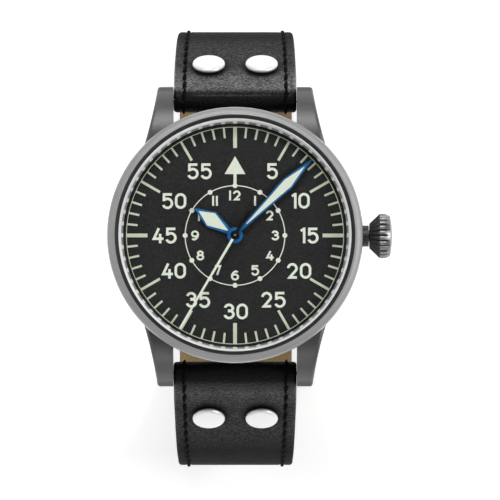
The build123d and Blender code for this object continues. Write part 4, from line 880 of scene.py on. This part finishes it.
def rivet_pair(name, strap):
    """Two button rivets: a nearly flat head with a round rim, a shank through the strap and a cap inside."""
    place, along, inward = on_route(strap, strap.rivet)
    profile = [(RIVET_FACE * share, RIVET_HEIGHT - RIVET_DOME * share ** 2) for share in RIVET_RINGS]
    profile += arc((RIVET_FACE, RIVET_HEIGHT - RIVET_DOME - RIVET_RIM), RIVET_RIM, 90, RIVET_RIM_END, RIVET_RIM_STEPS)
    profile += [(RIVET_FACE, 0.0), (RIVET_SHANK, 0.0), (RIVET_SHANK, CAP_TOP), (RIVET_CAP, CAP_TOP),
                (RIVET_CAP, CAP_TOP - CAP_HEIGHT)]
    points, faces = [], []
    for x in (-RIVET_X, RIVET_X):
        centre = place + Vector((x, 0, 0))
        first = len(points)
        for radius, height in profile:
            points += [centre - inward * height + Vector((across, 0, 0)) + along * forward
                       for across, forward in arc((0, 0), radius, 0, 360, RIVET_SEGMENTS)[:-1]]
        faces += ring_faces(first, len(profile), RIVET_SEGMENTS)
        last = len(points) - RIVET_SEGMENTS
        for ring, height in ((first, RIVET_HEIGHT), (last, CAP_TOP - CAP_HEIGHT)):
            faces += [(len(points), ring + segment, ring + (segment + 1) % RIVET_SEGMENTS)
                      for segment in range(RIVET_SEGMENTS)]
            points.append(centre - inward * height)
    return mesh_piece(name, points, faces, RIVET)


upper_rivets = rivet_pair("upper_strap_rivets", UPPER)
lower_rivets = rivet_pair("lower_strap_rivets", LOWER)


def rounded_loop(half, low, high, corner):
    """Points (x, z) round a rectangle with rounded corners, counter-clockwise from its right side."""
    centres = ((half - corner, high - corner), (corner - half, high - corner),
               (corner - half, low + corner), (half - corner, low + corner))
    return [point for quarter, centre in enumerate(centres)
            for point in arc(centre, corner, 90 * quarter, 90 * quarter + 90, KEEPER_CORNER_STEPS)]


def keeper_loop(piece_name, name):
    """A leather loop round both layers of the strap, where its CAD node is, with its long edges rounded."""
    low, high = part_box(name)
    start, end = low.y / mm, high.y / mm
    inner_half = STRAP_HALF_END + KEEPER_GAP
    inner_top = UPPER_BOTTOM + LEATHER + LINING + KEEPER_GAP
    outer_loop = rounded_loop(inner_half + KEEPER_WALL, KEEPER_BOTTOM, inner_top + KEEPER_WALL, KEEPER_WALL)
    inner_loop = rounded_loop(inner_half, TAIL_BOTTOM - KEEPER_GAP, inner_top, KEEPER_INNER_CORNER)
    outline = []
    for quarter, (y, inside) in enumerate([(end - KEEPER_EDGE, 0), (end - KEEPER_EDGE, 1),
                                           (start + KEEPER_EDGE, 1), (start + KEEPER_EDGE, 0)]):
        for lift, forward in arc((0, 0), 1, 90 * quarter, 90 * quarter + 90, KEEPER_EDGE_STEPS):
            outline.append((y + KEEPER_EDGE * forward, inside, 1 - 2 * inside - lift))
    points = []
    for outer, inner in zip(outer_loop, inner_loop):
        across = Vector((inner[0] - outer[0], inner[1] - outer[1]))
        for y, inside, lift in outline:
            share = inside + lift * KEEPER_EDGE / across.length
            points.append((outer[0] + across.x * share, y, outer[1] + across.y * share))
    return mesh_piece(piece_name, points, ring_faces(0, len(outer_loop), len(outline), closed=True),
                      BLACK_LEATHER)


fixed_loop = keeper_loop("fixed_leather_keeper", "fixed_keeper")
free_loop = keeper_loop("sliding_leather_keeper", "free_keeper")


# Stitching: Geometry Nodes lay a thread stitch at an even pitch along the seam lines


def seam_lines(name, strap):
    """The two seam lines of a strap, over the roll at the lugs and down its outer face."""
    data = bpy.data.curves.new(name, "CURVE")
    data.dimensions = "3D"
    for side in (1, -1):
        line = [place + Vector((side * (STRAP_HALF - STITCH_INSET), 0, 0))
                for place, _, share in bar_roll(strap) if share > SEAM_ROLL_START]
        for distance in spaced(0.0, route_length(strap) - strap.seam_inset, SEAM_PITCH):
            place = on_route(strap, distance)[0]
            line.append(place + Vector((side * (strap_half(place.z) - STITCH_INSET), 0, 0)))
        spline = data.splines.new("POLY")
        spline.points.add(len(line) - 1)
        for point, place in zip(spline.points, line):
            point.co = (*(place * mm), 1.0)
    return link_object(name, data)


def stitch_tree():
    """Stitches along curves: inputs are the pitch, the stitch's length and thickness, and its material."""
    tree = bpy.data.node_groups.new("stitches_along_seam", "GeometryNodeTree")
    for name, direction, kind in (("Geometry", "INPUT", "Geometry"), ("Pitch", "INPUT", "Float"),
                                  ("Stitch length", "INPUT", "Float"), ("Stitch thickness", "INPUT", "Float"),
                                  ("Slant", "INPUT", "Float"), ("Thread", "INPUT", "Material"),
                                  ("Geometry", "OUTPUT", "Geometry")):
        tree.interface.new_socket(name, in_out=direction, socket_type="NodeSocket" + kind)
    given = tree.nodes.new("NodeGroupInput").outputs
    places = tree.nodes.new("GeometryNodeCurveToPoints")
    places.mode = "LENGTH"
    fill(tree, places, Curve=given["Geometry"], Length=given["Pitch"])
    ball = add_node(tree, "GeometryNodeMeshUVSphere", Segments=10, Rings=8, Radius=0.5)
    size = add_node(tree, "ShaderNodeCombineXYZ", X=given["Stitch thickness"], Y=given["Stitch thickness"],
                    Z=given["Stitch length"])
    shaped = add_node(tree, "GeometryNodeTransform", Geometry=ball.outputs["Mesh"], Scale=size.outputs[0])
    slant = add_node(tree, "ShaderNodeCombineXYZ", X=given["Slant"], Y=given["Slant"])
    slanted = add_node(tree, "GeometryNodeTransform", Geometry=shaped.outputs[0], Rotation=slant.outputs[0])
    laid = add_node(tree, "GeometryNodeInstanceOnPoints", Points=places.outputs["Points"],
                    Rotation=places.outputs["Rotation"], Instance=slanted.outputs[0])
    real = add_node(tree, "GeometryNodeRealizeInstances", Geometry=laid.outputs[0])
    smooth = add_node(tree, "GeometryNodeSetShadeSmooth", Geometry=real.outputs[0])
    painted = add_node(tree, "GeometryNodeSetMaterial", Geometry=smooth.outputs[0], Material=given["Thread"])
    fill(tree, tree.nodes.new("NodeGroupOutput"), Geometry=painted.outputs[0])
    return tree


def stitched(name, lines, tree):
    """The seam lines of a strap turned into its thread."""
    modifier = lines.modifiers.new("stitches", "NODES")
    modifier.node_group = tree
    values = {"Pitch": STITCH_PITCH * mm, "Stitch length": STITCH_LENGTH * mm,
              "Stitch thickness": STITCH_THICKNESS * mm, "Slant": STITCH_SLANT, "Thread": THREAD}
    for item in tree.interface.items_tree:
        if item.in_out == "INPUT" and item.name in values:
            modifier[item.identifier] = values[item.name]
    bpy.context.view_layer.update()
    graph = bpy.context.evaluated_depsgraph_get()
    mesh = bpy.data.meshes.new_from_object(lines.evaluated_get(graph))
    bpy.data.objects.remove(lines)
    return link_object(name, mesh)


seam_tree = stitch_tree()
upper_thread = stitched("upper_strap_thread", seam_lines("upper_seams", UPPER), seam_tree)
lower_thread = stitched("lower_strap_thread", seam_lines("lower_seams", LOWER), seam_tree)

replaced = {
    "upper_strap": (upper_leather, "black_leather", "watch"),
    "lower_strap": (lower_leather, "black_leather", "watch"),
    "upper_strap_lining": (upper_lining, "tan_lining", "watch"),
    "lower_strap_lining": (lower_lining, "tan_lining", "watch"),
    "fixed_keeper": (fixed_loop, "black_leather", "watch"),
    "free_keeper": (free_loop, "black_leather", "sliding_keeper"),
    "upper_stitching": (upper_thread, "black_thread", "watch"),
    "lower_stitching": (lower_thread, "black_thread", "watch"),
    "upper_rivets": (upper_rivets, "polished_steel", "watch"),
    "lower_rivets": (lower_rivets, "polished_steel", "watch"),
}
for node, (piece, slot, body) in replaced.items():
    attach(piece, body)
    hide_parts(node)


# Floor, light and camera, in metres

FLOOR_HALF = 1.2
HORIZON = (0.1, 0.34)
HORIZON_STRENGTH = (1.0, 0.2)
BELOW_HORIZON = (-0.05, 0.0)
LAMP_DISTANCE = 0.7
CAMERA_DISTANCE = 1.0
VIEW_WIDTH = 0.082
CAMERA_TILT = radians(2.3)
AIM = Vector((2.46, -2.46, 9.0)) * mm
SENSOR = 36.0


def floor_material():
    """Pale floor, white to the camera and in reflections, that keeps the object's soft shadow."""
    material, tree, shader = new_material("pale_floor")
    shade = grained(tree, grains=900.0, patches=12.0, mottling=0.01, speckle=0.01)[1]
    path = tree.nodes.new("ShaderNodeLightPath").outputs
    seen = maths(tree, "MAXIMUM", path["Is Camera Ray"],
                 maths(tree, "MAXIMUM", path["Is Glossy Ray"], path["Is Transmission Ray"]))
    fill(tree, shader, Base_Color=shaded(tree, grey(0.86), shade), Roughness=0.9, Specular_IOR_Level=0.0,
         Emission_Color=grey(1.0), Emission_Strength=times(tree, seen, 0.5))
    return material


floor = mesh_piece("floor", [(x * FLOOR_HALF / mm, y * FLOOR_HALF / mm, cad_box[0].z / mm)
                             for x, y in ((-1, -1), (1, -1), (1, 1), (-1, 1))], [(0, 1, 2, 3)],
                   floor_material())

world = bpy.data.worlds.new("studio")
bpy.context.scene.world = world
world.use_nodes = True
sky = world.node_tree
direction = add_node(sky, "ShaderNodeSeparateXYZ",
                     Vector=sky.nodes.new("ShaderNodeTexCoord").outputs["Generated"]).outputs
horizon = between(sky, maths(sky, "ABSOLUTE", direction["Z"]), HORIZON, HORIZON_STRENGTH)
below = between(sky, direction["Z"], BELOW_HORIZON, (1.0, 0.0))
fill(sky, sky.nodes["Background"], Color=grey(1.0), Strength=maths(sky, "MAXIMUM", horizon, below))


def lamp(name, azimuth, elevation, size, power):
    """A square softbox that looks at the watch, from a clock angle and a height in degrees."""
    data = bpy.data.lights.new(name, "AREA")
    data.shape = "SQUARE"
    data.size = size
    data.energy = power
    light = link_object(name, data)
    turn, lift = radians(azimuth), radians(elevation)
    towards = Vector((sin(turn) * cos(lift), cos(turn) * cos(lift), sin(lift)))
    light.location = towards * LAMP_DISTANCE
    light.rotation_euler = (-towards).to_track_quat("-Z", "Y").to_euler()
    light.visible_camera = False


lamp("key_softbox", azimuth=354, elevation=50, size=0.2, power=1.8)
lamp("right_softbox", azimuth=88, elevation=40, size=0.22, power=1.9)
lamp("left_softbox", azimuth=272, elevation=40, size=0.18, power=0.6)
lamp("front_softbox", azimuth=192, elevation=42, size=0.18, power=0.6)

camera_data = bpy.data.cameras.new("camera")
camera_data.sensor_width = SENSOR
camera_data.lens = SENSOR * CAMERA_DISTANCE / VIEW_WIDTH
camera_data.clip_start = 0.01
camera = link_object("camera", camera_data)
camera.location = AIM + CAMERA_DISTANCE * Vector((0, -sin(CAMERA_TILT), cos(CAMERA_TILT)))
camera.rotation_euler = (CAMERA_TILT, 0, 0)
bpy.context.scene.camera = camera
bpy.context.scene.view_settings.view_transform = "Standard"
